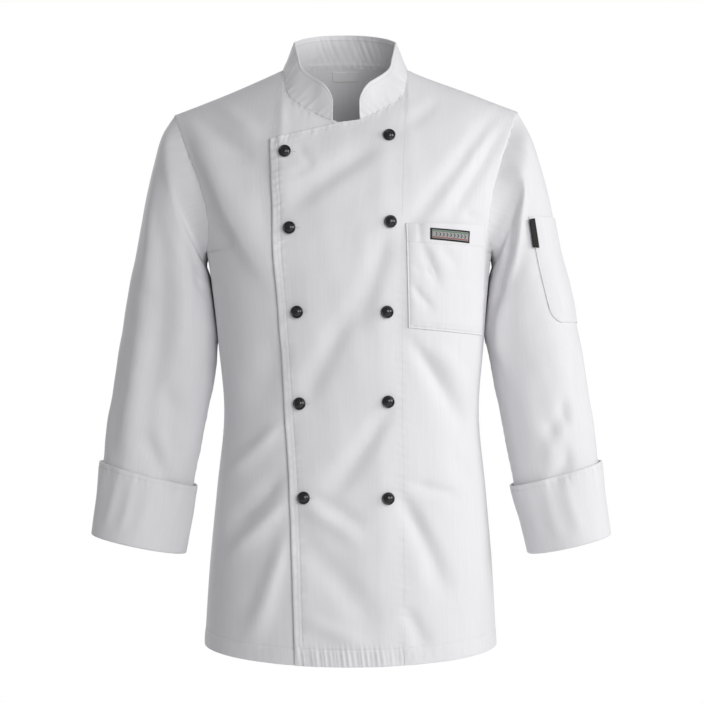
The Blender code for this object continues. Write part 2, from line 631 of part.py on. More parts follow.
def wall(name, outer, inner, colour, closed=False):
    """A closed wall between two grids of points; a closed one is a tube."""
    rows, columns = outer.shape[:2]
    total = rows * columns
    points = np.concatenate([outer.reshape(-1, 3), inner.reshape(-1, 3)])
    faces = cell_faces(rows, columns, 0, closed)
    faces += [face[::-1] for face in cell_faces(rows, columns, total, closed)]
    loops = [[j for j in range(columns)], [(rows - 1) * columns + j for j in range(columns)]]
    if closed:
        loops = [loop + loop[:1] for loop in loops]
    else:
        loops += [[i * columns for i in range(rows)], [i * columns + columns - 1 for i in range(rows)]]
    for loop in loops:
        for a, b in zip(loop, loop[1:]):
            faces += [(a, b, b + total), (a, b + total, a + total)]
    return add_object(name, points, faces, colour)


def panel(name, cloth, armholes=(), parted=None):
    """A cloth panel of the torso, its armhole edges cut square to the armholes. It may be parted at a row."""
    facing = cloth.facing.copy()
    for edge, sleeve in armholes:
        outwards = cloth.points[ROWS_BELOW:, edge] - ARMHOLE_CENTRE[sleeve]
        facing[ROWS_BELOW:, edge] = outwards / np.linalg.norm(outwards, axis=-1, keepdims=True)
    outer = draw_in(draw_in(cloth.points, SEAM / 2), SEAM / 4, sides=("last",))
    inner = outer - facing * CLOTH
    if parted is None:
        wall(name, outer, inner, "white_twill")
    else:
        wall_lengths(name, outer, inner, parted)


def wall_lengths(name, outer, inner, parted, first="low", second="top", closed=False):
    """A wall of cloth as two lengths that meet at a row, the gap of a seam apart."""
    for length, rows, end in ((first, np.s_[:parted + 1], "last"), (second, np.s_[parted:], "first")):
        wall(f"{name}_{length}", draw_in(outer[rows], SEAM / 2, (end,)),
             draw_in(inner[rows], SEAM / 2, (end,)), "white_twill", closed=closed)


def sleeve_row_shares():
    """Where a sleeve's rows of points lie, as shares of its length."""
    return np.linspace(0, 1, SLEEVE_ROWS + 1) ** 0.9 * SLEEVE_END


def make_sleeve(name):
    """A sleeve, as two lengths that meet above the elbow."""
    mirror = 1 if name == "left" else -1
    _, angles = sleeve_shape(mirror)
    grid = sleeve_grid(name, sleeve_row_shares(), angles)
    normal = outward(grid, ring_heart(grid), closed=True)
    inward = ARMHOLE_CENTRE[name] - grid[0]
    normal[0] = -inward / np.linalg.norm(inward, axis=-1, keepdims=True)
    outer = draw_in(grid, SEAM, sides=("first",))
    wall_lengths("sleeve_" + name, outer, outer - normal * CLOTH, SLEEVE_CUT, "top", "low", closed=True)


def make_cuff(name):
    """The cuff is the sleeve's end turned back up: an outer band, a rounded fold and a short inner leg."""
    mirror = 1 if name == "left" else -1
    _, angles = sleeve_shape(mirror)
    stand = CUFF_STAND + BAND
    Turn = namedtuple("Turn", "down lift")
    outside = [Turn(share, stand) for share in np.linspace(CUFF_TOP, CUFF_END - 0.006, 5)]
    fold = [Turn(CUFF_END - 0.001, stand - 0.0012), Turn(CUFF_END, stand - 0.0026),
            Turn(CUFF_END - 0.002, -CLOTH + 0.0002)]
    leg_top = SLEEVE_END + SEAM * 1.5 / SLEEVE_LENGTH
    leg = [Turn(CUFF_END - 0.010, -CLOTH), Turn(leg_top, -CLOTH), Turn(leg_top, 0.0)]
    inside = [Turn(CUFF_END - 0.014, 0.0), Turn(CUFF_END - 0.008, 0.0009), Turn(CUFF_END - 0.012, CUFF_STAND)]
    back_up = [Turn(share, CUFF_STAND) for share in np.linspace(CUFF_END - 0.030, CUFF_TOP, 5)]
    profile = outside + fold + leg + inside + back_up
    down = np.array([turn.down for turn in profile])
    lift = np.array([turn.lift for turn in profile])
    grid = sleeve_grid(name, np.minimum(down, 1.0), angles)
    past = np.maximum(down - 1.0, 0) * SLEEVE_LENGTH
    axis = ring_heart(grid)
    straight = sleeve_grid(name, [0.97, 1.0], angles)
    along = ring_heart(straight)[1] - ring_heart(straight)[0]
    along /= np.linalg.norm(along)
    out = grid - axis
    out /= np.linalg.norm(out, axis=-1, keepdims=True)
    grid = grid + out * lift[:, None, None] + along * past[:, None, None]
    rows, columns = grid.shape[:2]
    looped = np.concatenate([grid, grid[:1]])
    faces = [tuple(i % (rows * columns) for i in face) for face in cell_faces(rows + 1, columns, 0, True)]
    return add_object("cuff_" + name, looped[:-1].reshape(-1, 3), faces, "white_twill")


def make_collar():
    """A standing band round the neckline, with round front corners."""
    corners = neckline()
    back_x = neck_columns()[-2::-1]
    halves = []
    for mirror, lift in ((1, lap_lift), (-1, lambda x, z: np.zeros(x.shape))):
        x, z = corners[:, 0] * mirror, corners[:, 1]
        front = torso(x, z, "front", lift(x, z))
        halves.append(np.concatenate([front, torso(back_x * mirror, back_neck(back_x), "back")]))
    foot = np.concatenate([halves[0], halves[1][-2::-1]])
    run = np.concatenate([[0], np.cumsum(np.linalg.norm(np.diff(foot, axis=0), axis=1))])
    middle = np.array(COLLAR_MIDDLE)
    inward = middle - foot[:, :2]
    inward /= np.linalg.norm(inward, axis=1, keepdims=True)
    degrees = np.degrees(np.arctan2(np.abs(foot[:, 0] - middle[0]), middle[1] - foot[:, 1]))
    share = column(COLLAR_INWARD, "degrees", "share", degrees)
    rise = np.concatenate([inward * share[:, None], np.sqrt(1 - share**2)[:, None]], axis=1)
    from_end = np.clip(np.minimum(run, run[-1] - run) / COLLAR_ROUND, 0, 1)
    height = COLLAR_HEIGHT - COLLAR_ROUND + COLLAR_ROUND * np.sqrt(1 - (1 - from_end) ** 2)
    height = height - column(COLLAR_INWARD, "degrees", "drop", degrees)
    rows = [foot + rise * (COLLAR_GAP + (height - COLLAR_GAP) * k / COLLAR_ROWS)[:, None]
            for k in range(COLLAR_ROWS + 1)]
    grid = np.array(rows)
    heart = grid * [0, 0, 1] + [middle[0], middle[1], 0]
    normal = outward(grid, heart, closed=False)
    return wall("collar", grid + normal * BAND / 2, grid - normal * BAND / 2, "white_twill")


def make_button(name, stud):
    """A domed stud with a raised rim, turned about its own axis and set square to the cloth."""
    lift = float(lap_lift(stud.x, stud.height))
    step = 0.004
    at = torso(stud.x, stud.height, "front", lift)
    right = torso(stud.x + step, stud.height, "front", lift) - at
    up = torso(stud.x, stud.height + step, "front", lift) - at
    facing = Vector(np.cross(right, up)).normalized()
    points, faces = [(0.0, 0.0, BUTTON_PROFILE[0].height)], []
    for knob in BUTTON_PROFILE:
        for k in range(BUTTON_SIDES):
            angle = 2 * math.pi * k / BUTTON_SIDES
            points.append((BUTTON_RADIUS * knob.radius * math.cos(angle),
                           BUTTON_RADIUS * knob.radius * math.sin(angle), knob.height))
    crown = len(points)
    points.append((0.0, 0.0, BUTTON_PROFILE[-1].height + 0.0007))
    last = 1 + (len(BUTTON_PROFILE) - 1) * BUTTON_SIDES
    for k in range(BUTTON_SIDES):
        after = (k + 1) % BUTTON_SIDES
        faces += [(0, 1 + after, 1 + k), (crown, last + k, last + after)]
    faces += cell_faces(len(BUTTON_PROFILE), BUTTON_SIDES, 1, closed=True)
    made = add_object(name, points, faces, "black_plastic")
    made.rotation_euler = facing.to_track_quat("Z", "Y").to_euler()
    made.location = Vector(at)
    return made


def patch(name, grid, heart, thickness, colour):
    normal = outward(grid, heart, closed=False)
    return wall(name, grid, grid - normal * thickness, colour)


def make_chest_pocket():
    s, t = np.meshgrid(np.linspace(0, 1, 12), np.linspace(0, 1, 12))
    x = POCKET_LEFT + (POCKET_RIGHT - POCKET_LEFT + POCKET_FLARE * (1 - t)) * s
    z = POCKET_TOP * (1 - t) + (POCKET_FOOT - POCKET_TILT * s) * t
    grid = torso(x, z, "front", POCKET_LIFT)
    patch("chest_pocket", grid, grid * [0, 0, 1], PATCH, "white_twill")
    s, t = np.meshgrid(np.linspace(0, 1, 5), np.linspace(0, 1, 3))
    x = LABEL_X[0] + (LABEL_X[1] - LABEL_X[0]) * s
    z = LABEL_Z[0] + (LABEL_Z[1] - LABEL_Z[0]) * t - LABEL_TILT * s
    grid = torso(x, z, "front", POCKET_LIFT + LABEL_GAP + LABEL_THICKNESS)
    patch("chest_label", grid, grid * [0, 0, 1], LABEL_THICKNESS, "label_weave")


def on_left_sleeve(down, turn, lift):
    """Points at single places of the left sleeve, for equal arrays of shares down it and degrees round it."""
    points = [sleeve_grid("left", [share], [math.radians(degrees)], lift)[0, 0]
              for share, degrees in zip(down.ravel(), turn.ravel())]
    return np.array(points).reshape(down.shape + (3,))


def make_sleeve_pocket():
    """A pocket round the outside of the left sleeve, its foot corners round, and the tab on its edge."""
    across, share = np.meshgrid(np.linspace(0, 1, SLEEVE_POCKET_COLUMNS),
                                np.linspace(0, 1, SLEEVE_POCKET_ROWS))
    low = np.clip(1 - (1 - share) / SLEEVE_POCKET_ROUND, 0, 1)
    drawn_in = SLEEVE_POCKET_CORNER * (1 - np.sqrt(1 - low**2))
    front = SLEEVE_POCKET_FRONT[0] * (1 - share) + SLEEVE_POCKET_FRONT[1] * share - drawn_in
    rear = SLEEVE_POCKET_REAR[0] * (1 - share) + SLEEVE_POCKET_REAR[1] * share + drawn_in
    turn = front + (rear - front) * across
    top = column(SLEEVE_POCKET_LEVELS, "turn", "top", turn)
    foot = column(SLEEVE_POCKET_LEVELS, "turn", "foot", turn)
    grid = on_left_sleeve(top + (foot - top) * share, turn, SLEEVE_POCKET_LIFT)
    patch("sleeve_pocket", grid, grid * [0, 0, 1] + [0.21, 0, 0], PATCH, "white_twill")
    across, share = np.meshgrid(np.linspace(0, 1, 3), np.linspace(0, 1, 4))
    turn = TAG_TURN[0] + (TAG_TURN[1] - TAG_TURN[0]) * across
    down = TAG_DOWN[0] + (TAG_DOWN[1] - TAG_DOWN[0]) * share + TAG_SLANT * across
    grid = on_left_sleeve(down, turn, TAG_LIFT)
    patch("sleeve_tab", grid, grid * [0, 0, 1] + [0.21, 0, 0], TAG_THICKNESS, "black_ribbon")


def make_neck_label():
    s, t = np.meshgrid(np.linspace(-1, 1, 5), np.linspace(0, 1, 3))
    z = NECK_LABEL_Z[0] + (NECK_LABEL_Z[1] - NECK_LABEL_Z[0]) * t
    grid = torso(NECK_LABEL_X * s, z, "back", -CLOTH - 0.0014)
    patch("neck_label", grid, grid * [0, 0, 1], LABEL_THICKNESS, "white_satin")


for old in list(bpy.data.objects):
    bpy.data.objects.remove(old, do_unlink=True)
JACKET = bpy.data.objects.new("jacket", None)
bpy.context.scene.collection.objects.link(JACKET)

HOLE_POINTS = {name: armhole_points(mirror)[0] for name, mirror in (("left", 1), ("right", -1))}
HOLE_ANGLES = armhole_points(1)[1]
ARMHOLE_CENTRE = {name: points.mean(axis=0) for name, points in HOLE_POINTS.items()}

panel("front_left_side", side_panel(1, LEFT_SEAM), [(0, "left")])
panel("front_right_side", side_panel(-1, RIGHT_SEAM), [(0, "right")], parted=WAIST_CUT)

left_seam, right_seam = edge_of(LEFT_SEAM), edge_of(RIGHT_SEAM)
lap_top = even_points([(c.x, c.height) for c in LAP_TOP], LAP_TOP_CELLS)
lap_top = np.concatenate([lap_top[:-1], neckline()])
panel("front_left_centre", centre_panel(edge_of(LAP_EDGE), left_seam, left_seam, lap_top, lap_lift))
under_top = even_points([(-FIRST_TOP_X, neckline()[0, 1])] + [(c.x, c.height) for c in UNDER_TOP[::-1]],
                        UNDER_TOP_CELLS)
under_top = np.concatenate([neckline()[::-1] * [-1, 1], under_top[1:]])
panel("front_right_centre", centre_panel(right_seam, edge_of(UNDER_EDGE), right_seam, under_top, tuck))
panel("back", back_panel(), [(0, "right"), (-1, "left")])

for name in ("left", "right"):
    make_sleeve(name)
    make_cuff(name)
make_collar()
make_chest_pocket()
make_sleeve_pocket()
make_neck_label()
for row_name, studs in BUTTONS.items():
    for number, stud in enumerate(studs, 1):
        make_button(f"button_{row_name}_{number}", stud)
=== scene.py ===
# A double-breasted white chef jacket, filled out as if worn, put together in the order in which it is sewn: the
# back, the fronts, the sleeves and cuffs, the collar, the pockets and labels, and the stud buttons. Metres, +Z up;
# the front faces -Y and the wearer's left is +X. Each cloth piece is a thin double-faced shell on its solid's form.
import math
from collections import namedtuple

import bpy
import numpy as np
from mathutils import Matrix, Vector


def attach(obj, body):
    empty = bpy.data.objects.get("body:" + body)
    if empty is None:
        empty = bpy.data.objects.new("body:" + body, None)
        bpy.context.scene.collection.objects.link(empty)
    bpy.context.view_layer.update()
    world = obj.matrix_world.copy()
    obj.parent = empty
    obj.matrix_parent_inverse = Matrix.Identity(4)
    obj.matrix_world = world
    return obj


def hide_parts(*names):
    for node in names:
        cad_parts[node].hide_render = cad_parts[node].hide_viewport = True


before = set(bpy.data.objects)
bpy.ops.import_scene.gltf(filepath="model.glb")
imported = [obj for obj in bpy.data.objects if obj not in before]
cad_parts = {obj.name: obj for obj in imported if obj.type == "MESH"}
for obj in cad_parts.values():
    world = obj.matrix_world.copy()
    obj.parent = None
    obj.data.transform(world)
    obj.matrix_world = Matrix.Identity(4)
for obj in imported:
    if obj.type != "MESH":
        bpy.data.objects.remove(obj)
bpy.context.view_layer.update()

# ---------------------------------------------------------------------------------------------------- the back
# One piece of white polyester-cotton twill, cut up to the shoulders and the back of the neck. It is sewn to the
# side fronts down both sides and just in front of the shoulder ridge, and its hem is turned up and stitched.
CLOTH = 0.0011
ARMPIT = -0.235
HEM_SIDE = -0.725
HEM_DIP = {"front": 0.009, "back": 0.004}
HEM_DEEP = 0.0205
SQUARENESS = 2.4
NECK_WIDTH = 0.078
NECK_RISE = 0.0875
BACK_NECK = 0.012
SHOULDER_SLOPE = 0.412
SHOULDER_HOLLOW, SHOULDER_LONG = 0.0018, 0.142
LEFT_RISE = 0.0045
SEAM_FORWARD = 0.014
ROOF_RISE, ROOF_ROUND = 1.8, 1.6
TURN_UP = 7.0

Section = namedtuple("Section", "height half_width front back")
TORSO = [
    Section(-0.740, 0.1850, 0.1350, 0.1260),
    Section(-0.620, 0.1778, 0.1300, 0.1210),
    Section(-0.530, 0.1697, 0.1230, 0.1130),
    Section(-0.430, 0.1610, 0.1160, 0.1010),
    Section(-0.350, 0.1675, 0.1200, 0.1060),
    Section(-0.290, 0.1730, 0.1260, 0.1140),
    Section(-0.235, 0.1800, 0.1290, 0.1200),
    Section(-0.180, 0.1950, 0.1290, 0.1210),
    Section(-0.120, 0.2160, 0.1250, 0.1180),
    Section(-0.060, 0.2350, 0.1150, 0.1100),
    Section(0.040, 0.2600, 0.1050, 0.1020),
]

Lean = namedtuple("Lean", "height shift")
LEAN = [Lean(-0.740, -0.0010), Lean(-0.300, -0.0014), Lean(-0.237, -0.0028), Lean(-0.184, -0.0040),
        Lean(-0.100, -0.0062), Lean(-0.060, -0.0070), Lean(0.000, -0.0082), Lean(0.060, -0.0095)]

Edge = namedtuple("Edge", "height x")
ARMHOLE = {
    "front": [Edge(-0.235, 0.1800), Edge(-0.228, 0.1765), Edge(-0.215, 0.1735), Edge(-0.194, 0.1735),
              Edge(-0.177, 0.1760), Edge(-0.139, 0.1865), Edge(-0.103, 0.2000), Edge(-0.055, 0.2185)],
    "back": [Edge(-0.235, 0.1800), Edge(-0.228, 0.1785), Edge(-0.210, 0.1780), Edge(-0.180, 0.1810),
             Edge(-0.140, 0.1900), Edge(-0.100, 0.2025), Edge(-0.055, 0.2185)],
}

# A fold runs between two points of the cloth, and is a trough where its height is below 0. It widens from start to
# end. Seen along it, broad is how many times wider its left side is, and bow is how far its middle strays to the
# left.
Fold = namedtuple("Fold", "x0 z0 x1 z1 start end height broad bow", defaults=(1.0, 0.0))
FOLDS = {
    "front": [
        # the wearer's right chest, from the shoulder to the overlap
        Fold(-0.222, -0.026, -0.082, -0.298, 0.011, 0.016, 0.0125, 2.00, -0.004),
        Fold(-0.204, -0.048, -0.086, -0.146, 0.009, 0.013, -0.0060, 1.00, -0.003),
        Fold(-0.180, -0.030, -0.096, -0.102, 0.009, 0.012, 0.0040),
        Fold(-0.207, -0.066, -0.150, -0.200, 0.007, 0.010, -0.0034),
        Fold(-0.078, -0.030, -0.080, -0.125, 0.006, 0.008, 0.0014),
        Fold(-0.104, -0.084, -0.092, -0.230, 0.010, 0.014, -0.0030),
        Fold(-0.180, -0.190, -0.132, -0.232, 0.006, 0.010, -0.0030),
        # the wearer's left chest, down from the shoulder and in from the armhole
        Fold(0.218, -0.022, 0.046, -0.236, 0.009, 0.013, -0.0066, 0.90, 0.006),
        Fold(0.200, -0.056, 0.076, -0.206, 0.008, 0.012, 0.0034, 1.00, 0.004),
        Fold(0.214, -0.046, 0.104, -0.218, 0.008, 0.011, -0.0068, 0.90, 0.006),
        Fold(0.120, -0.040, 0.066, -0.086, 0.008, 0.010, -0.0022, 1.00, 0.002),
        Fold(0.138, -0.186, 0.170, -0.206, 0.006, 0.008, -0.0035),
        # the overlap: a soft hollow under the collar and long drags between the studs
        Fold(0.052, -0.100, -0.090, -0.200, 0.013, 0.019, -0.0048, 0.75, -0.004),
        Fold(-0.062, -0.104, -0.040, -0.136, 0.006, 0.007, -0.0012),
        Fold(-0.070, -0.146, -0.034, -0.128, 0.006, 0.007, -0.0009),
        Fold(0.052, -0.190, -0.004, -0.352, 0.013, 0.019, -0.0050, 0.80, 0.004),
        Fold(0.014, -0.290, -0.064, -0.438, 0.013, 0.016, -0.0046, 0.85, -0.004),
        Fold(0.056, -0.408, -0.040, -0.548, 0.011, 0.018, -0.0048, 0.80, 0.004),
        Fold(-0.062, -0.525, 0.022, -0.574, 0.008, 0.012, -0.0030, 1.00, 0.003),
        Fold(-0.068, -0.538, 0.022, -0.592, 0.009, 0.013, 0.0036, 1.00, 0.003),
        Fold(-0.066, -0.575, 0.046, -0.706, 0.014, 0.020, -0.0042, 1.00, 0.003),
        Fold(-0.068, -0.672, 0.034, -0.714, 0.009, 0.012, 0.0026),
        # the wearer's left side, below the pocket
        Fold(0.062, -0.330, 0.158, -0.490, 0.009, 0.015, -0.0070, 0.80, 0.006),
        Fold(0.094, -0.340, 0.168, -0.450, 0.010, 0.014, 0.0045, 1.00, 0.004),
        Fold(0.064, -0.516, 0.146, -0.540, 0.007, 0.009, -0.0045, 1.00, 0.002),
        Fold(0.052, -0.518, 0.122, -0.668, 0.009, 0.016, -0.0075, 0.85, 0.005),
        Fold(0.062, -0.656, 0.094, -0.722, 0.008, 0.012, -0.0040),
        Fold(0.120, -0.470, 0.165, -0.545, 0.012, 0.016, -0.0035),
        # the wearer's right side, down and out from the overlap
        Fold(-0.074, -0.434, -0.170, -0.522, 0.009, 0.012, 0.0075, 1.00, 0.003),
        Fold(-0.074, -0.496, -0.162, -0.582, 0.009, 0.012, -0.0075, 1.00, 0.003),
        Fold(-0.068, -0.526, -0.160, -0.616, 0.009, 0.012, 0.0085, 1.00, 0.002),
        Fold(-0.074, -0.556, -0.130, -0.726, 0.010, 0.016, 0.0080, 0.90, 0.006),
        Fold(-0.084, -0.330, -0.120, -0.440, 0.016, 0.022, -0.0040),
    ],
    "back": [
        Fold(-0.190, -0.086, -0.066, -0.226, 0.010, 0.016, -0.0060, 0.90, 0.004),
        Fold(-0.184, -0.120, -0.084, -0.240, 0.009, 0.014, 0.0045, 1.00, 0.004),
        Fold(0.184, -0.090, 0.070, -0.212, 0.010, 0.015, -0.0065, 0.90, 0.004),
        Fold(0.178, -0.126, 0.092, -0.236, 0.009, 0.013, 0.0040, 1.00, 0.003),
        Fold(-0.118, -0.285, -0.014, -0.424, 0.013, 0.020, -0.0055, 0.85, 0.005),
        Fold(0.130, -0.318, 0.032, -0.440, 0.012, 0.019, -0.0060, 0.85, 0.005),
        Fold(-0.150, -0.412, -0.036, -0.452, 0.010, 0.014, 0.0050, 1.00, -0.004),
        Fold(0.140, -0.448, 0.044, -0.482, 0.010, 0.014, 0.0050, 1.00, -0.003),
        Fold(-0.082, -0.510, -0.112, -0.700, 0.012, 0.020, 0.0065, 0.90, 0.004),
        Fold(0.068, -0.530, 0.094, -0.706, 0.012, 0.020, 0.0060, 0.90, -0.004),
        Fold(0.000, -0.490, 0.004, -0.690, 0.014, 0.022, -0.0050, 1.00, 0.003),
        Fold(-0.050, -0.030, -0.040, -0.120, 0.014, 0.020, -0.0025),
        Fold(0.044, -0.034, 0.036, -0.128, 0.014, 0.020, -0.0025),
    ],
}


def smooth(knots, values, at):
    """Reads a curve that passes through every value without a kink."""
    knots, values = np.asarray(knots, float), np.asarray(values, float)
    slope = np.gradient(values, knots, axis=0)
    at = np.clip(np.asarray(at, float), knots[0], knots[-1])
    cell = np.clip(np.searchsorted(knots, at, "right") - 1, 0, len(knots) - 2)
    step = knots[cell + 1] - knots[cell]
    u = (at - knots[cell]) / step
    more = (1,) * (values.ndim - 1)
    u, step = u.reshape(u.shape + more), step.reshape(step.shape + more)
    start, end = values[cell], values[cell + 1]
    return (start * (1 + 2 * u) * (1 - u) ** 2 + end * u * u * (3 - 2 * u)
            + slope[cell] * step * u * (1 - u) ** 2 - slope[cell + 1] * step * u * u * (1 - u))


def column(table, key, name, at):
    """Reads one named column of a table at places given in another of its columns."""
    return smooth([getattr(row, key) for row in table], [getattr(row, name) for row in table], at)


def ease(share):
    share = np.clip(share, 0.0, 1.0)
    return share * share * (3 - 2 * share)


def fold_height(folds, a, b):
    """Sum of soft ridges and troughs at the places (a, b)."""
    total = np.zeros(np.broadcast(a, b).shape)
    for fold in folds:
        run, rise = fold.x1 - fold.x0, fold.z1 - fold.z0
        length = math.hypot(run, rise)
        along = ((a - fold.x0) * run + (b - fold.z0) * rise) / length**2
        away = ((b - fold.z0) * run - (a - fold.x0) * rise) / length - fold.bow * 4 * along * (1 - along)
        width = fold.start + (fold.end - fold.start) * np.clip(along, 0, 1)
        width = np.where(away > 0, width * fold.broad, width)
        fade = ease(along / 0.35) * ease((1 - along) / 0.35)
        total = total + fold.height * fade * np.exp(-(away / width) ** 2)
    return total


def rumple(a, b):
    """The slight unevenness that pressed cloth keeps all over, for places in metres."""
    wide = np.sin(57 * a + 23 * b + 0.7) * np.sin(43 * b - 31 * a + 2.1)
    close = np.sin(118 * a - 52 * b) * np.sin(83 * b + 39 * a + 1.3)
    return 0.0006 * wide + 0.0003 * close


def ridge(x, face):
    """Height of the shoulder ridge; between the shoulders, of a ridge that would close over the neck."""
    x = np.abs(x)
    hollow = SHOULDER_HOLLOW * np.sin(math.pi * np.clip((x - NECK_WIDTH) / SHOULDER_LONG, 0, 1))
    outside = -SHOULDER_SLOPE * np.maximum(x - NECK_WIDTH, 0) - hollow
    if face == "front":
        return outside
    return outside + NECK_RISE * np.maximum(1 - (x / NECK_WIDTH) ** 2, 0) ** 1.5


def fullness(share):
    """How far out a level section reaches, from 1 at its middle to 0 at its side."""
    return (1 - share**SQUARENESS) ** (1 / SQUARENESS)


def body(x, z, face, lift=0.0):
    """Points of the jacket's outside at (x, z), moved out by lift, with its folds and its lean."""
    x, z = np.broadcast_arrays(np.asarray(x, float), np.asarray(z, float))
    sign = -1.0 if face == "front" else 1.0
    half = column(TORSO, "height", "half_width", z)
    deep = column(TORSO, "height", face, z)
    share = np.clip(np.abs(x) / half, 0, 1)
    rise = np.clip((z - ARMPIT) / (ridge(x, face) - ARMPIT), 0, 1)
    roof = (1 - rise**ROOF_RISE) ** (1 / ROOF_ROUND)
    y = sign * deep * fullness(share) * roof
    out_x = np.sign(x) * share ** (SQUARENESS - 1) / half
    out_y = sign * np.maximum(1 - share**SQUARENESS, 0) ** ((SQUARENESS - 1) / SQUARENESS) / deep
    out_z = (1 - roof) * TURN_UP
    out = np.stack([out_x, out_y, out_z], -1)
    out /= np.linalg.norm(out, axis=-1, keepdims=True)
    calm = (1 - share**8) * (1 - rise**6)
    move = lift + (fold_height(FOLDS[face], x, z) + rumple(x, z)) * calm
    points = np.stack([x, y, z], -1) + out * move[..., None]
    raised = ease((x - NECK_WIDTH) / 0.09) * ease((z - ARMPIT) / 0.15)
    points[..., 0] += column(LEAN, "height", "shift", points[..., 2])
    points[..., 2] += LEFT_RISE * raised
    return points


Cloth = namedtuple("Cloth", "points out")


def on_body(x, z, face, lift=0.0):
    """A stretch of cloth on the body: its points, and the directions that it faces."""
    x, z = np.broadcast_arrays(np.asarray(x, float), np.asarray(z, float))
    step = 0.0008
    half = column(TORSO, "height", "half_width", z)
    top = ridge(x, face)
    x0, x1 = np.maximum(x - step, -half), np.minimum(x + step, half)
    z1 = np.minimum(z + step, np.maximum(top, z - step / 2))
    across = body(x1, z, face) - body(x0, z, face)
    up = body(x, z1, face) - body(x, z - step, face)
    out = np.cross(across, up) * (1 if face == "front" else -1)
    return Cloth(body(x, z, face, lift), out / np.linalg.norm(out, axis=-1, keepdims=True))


def hem_height(x, face):
    return HEM_SIDE - HEM_DIP[face] * np.maximum(1 - (x / TORSO[0].half_width) ** 2, 0)


def seam_share(x):
    """How far up towards the ridge the shoulder seam lies: on it at the neck, a little before it further out."""
    return 1 - SEAM_FORWARD * (0.02 + 0.98 * ease((np.abs(x) - NECK_WIDTH) / 0.05))


def back_neck(x):
    return BACK_NECK * (1 - np.minimum(np.abs(x) / NECK_WIDTH, 1) ** 2)


def back_top(x):
    """Height of the back's last level row: the ridge, and inside it just under the neckline."""
    inside = back_neck(x) - 0.006 * ease((NECK_WIDTH - np.abs(x)) / 0.02)
    return np.where(np.abs(x) < NECK_WIDTH, inside, ridge(x, "front"))


def meet(edge, height):
    """Where a row crosses an edge that is given by height."""
    x = edge(ARMPIT)
    for _ in range(14):
        x = edge(height(x))
    return float(x)


def edge_of(table):
    return lambda z: column(table, "height", "x", z)


def side_edge(below, face):
    """The edge that a row starts from: the side seam below the armpit and the armhole above it."""
    if below:
        return lambda z: column(TORSO, "height", "half_width", z)
    return edge_of(ARMHOLE[face])


Crowd = namedtuple("Crowd", "gap reach")
AT_EDGE, AT_LINE = Crowd(0.00022, 0.0007), Crowd(0.0005, 0.0014)


def places(length, cell, fine=(), first=True, last=True):
    """Distances along a length about a cell apart, closer together at its ends and at the given lines."""
    spots = np.linspace(0, length, int(length / 0.0001) + 2)
    crowd = np.full(len(spots), 1 / cell)
    ends = ([0.0] if first else []) + ([length] if last else [])
    for place, at in [(end, AT_EDGE) for end in ends] + [(line, AT_LINE) for line in fine]:
        crowd += (1 / at.gap) * np.exp(-((spots - place) / at.reach) ** 2)
    total = np.concatenate([[0], np.cumsum((crowd[1:] + crowd[:-1]) / 2 * np.diff(spots))])
    return np.interp(np.linspace(0, total[-1], int(round(total[-1])) + 1), total, spots)


def fit(spots, length, keep_first=0.03, keep_last=0.03):
    """The same distances on a longer or shorter length: those near its ends stay as they are."""
    middle = np.clip((spots - keep_first) / (spots[-1] - keep_first - keep_last), 0, 1)
    return spots + (length - spots[-1]) * middle


def lay_across(height, x0, x1, face, spots, keep=(0.03, 0.03)):
    """x of the places along a row from x0 to x1, measured along the cloth."""
    half = column(TORSO, "height", "half_width", height(x0))
    turn = np.linspace(*np.arcsin(np.clip(np.array([x0, x1]) / half, -1, 1)), 160)
    x = half * np.sin(turn)
    x = x0 + (x - x[0]) * (x1 - x0) / (x[-1] - x[0])
    z = height(x)
    deep = column(TORSO, "height", face, z) * fullness(np.clip(np.abs(x) / half, 0, 1))
    run = np.concatenate([[0], np.cumsum(np.sqrt(np.diff(x) ** 2 + np.diff(deep) ** 2))])
    return np.interp(fit(spots, run[-1], *keep), run, x)


def row_heights(face, top, low, high):
    """Each row's height as a function of x, from the hem up, and whether it is below the armpit."""
    def low_row(spot):
        share = np.clip((spot - 0.03) / (low[-1] - 0.03), 0, 1)
        return lambda x: hem_height(x, face) + spot + (ARMPIT - hem_height(x, face) - low[-1]) * share

    def high_row(spot):
        share = np.clip(spot / (high[-1] - 0.03), 0, 1)
        return lambda x: ARMPIT + spot + (top(x) - ARMPIT - high[-1]) * share

    return [(True, low_row(spot)) for spot in low] + [(False, high_row(spot)) for spot in high[1:]]


def along(grid, axis):
    """Distances along a grid's lines."""
    step = np.linalg.norm(np.diff(grid, axis=axis), axis=-1)
    return np.concatenate([np.zeros_like(np.take(step, [0], axis)), np.cumsum(step, axis=axis)], axis)


SEWN_SHARP = 30.0


def rim(grid, sides=("first", "last", "start", "end"), sewn=()):
    """Each point's distance from the nearest of the grid's edges; sewn ones turn in more sharply than free ones."""
    down, across = along(grid, 0), along(grid, 1)
    distances = {"first": down, "last": down[-1:] - down, "start": across, "end": across[:, -1:] - across}
    return np.min([distances[name] * (SEWN_SHARP if name in sewn else 1) for name in sides], axis=0)


Gathers = namedtuple("Gathers", "spacing reach height slant", defaults=(0.0,))


def gather_heights(length, spacing, seed):
    """Uneven gathers along a seam: their heights from 0 to about 1, to be read by distance."""
    chance = np.random.default_rng(seed)
    spots = np.arange(-0.02, length + 0.02, 0.0003)
    heights = np.zeros(len(spots))
    place = spots[0]
    while place < spots[-1]:
        place += spacing * chance.uniform(0.65, 1.45)
        width = spacing * chance.uniform(0.20, 0.34)
        heights += chance.uniform(0.25, 1.0) * np.exp(-((spots - place) / width) ** 2)
    return lambda at: np.interp(at, spots, heights)


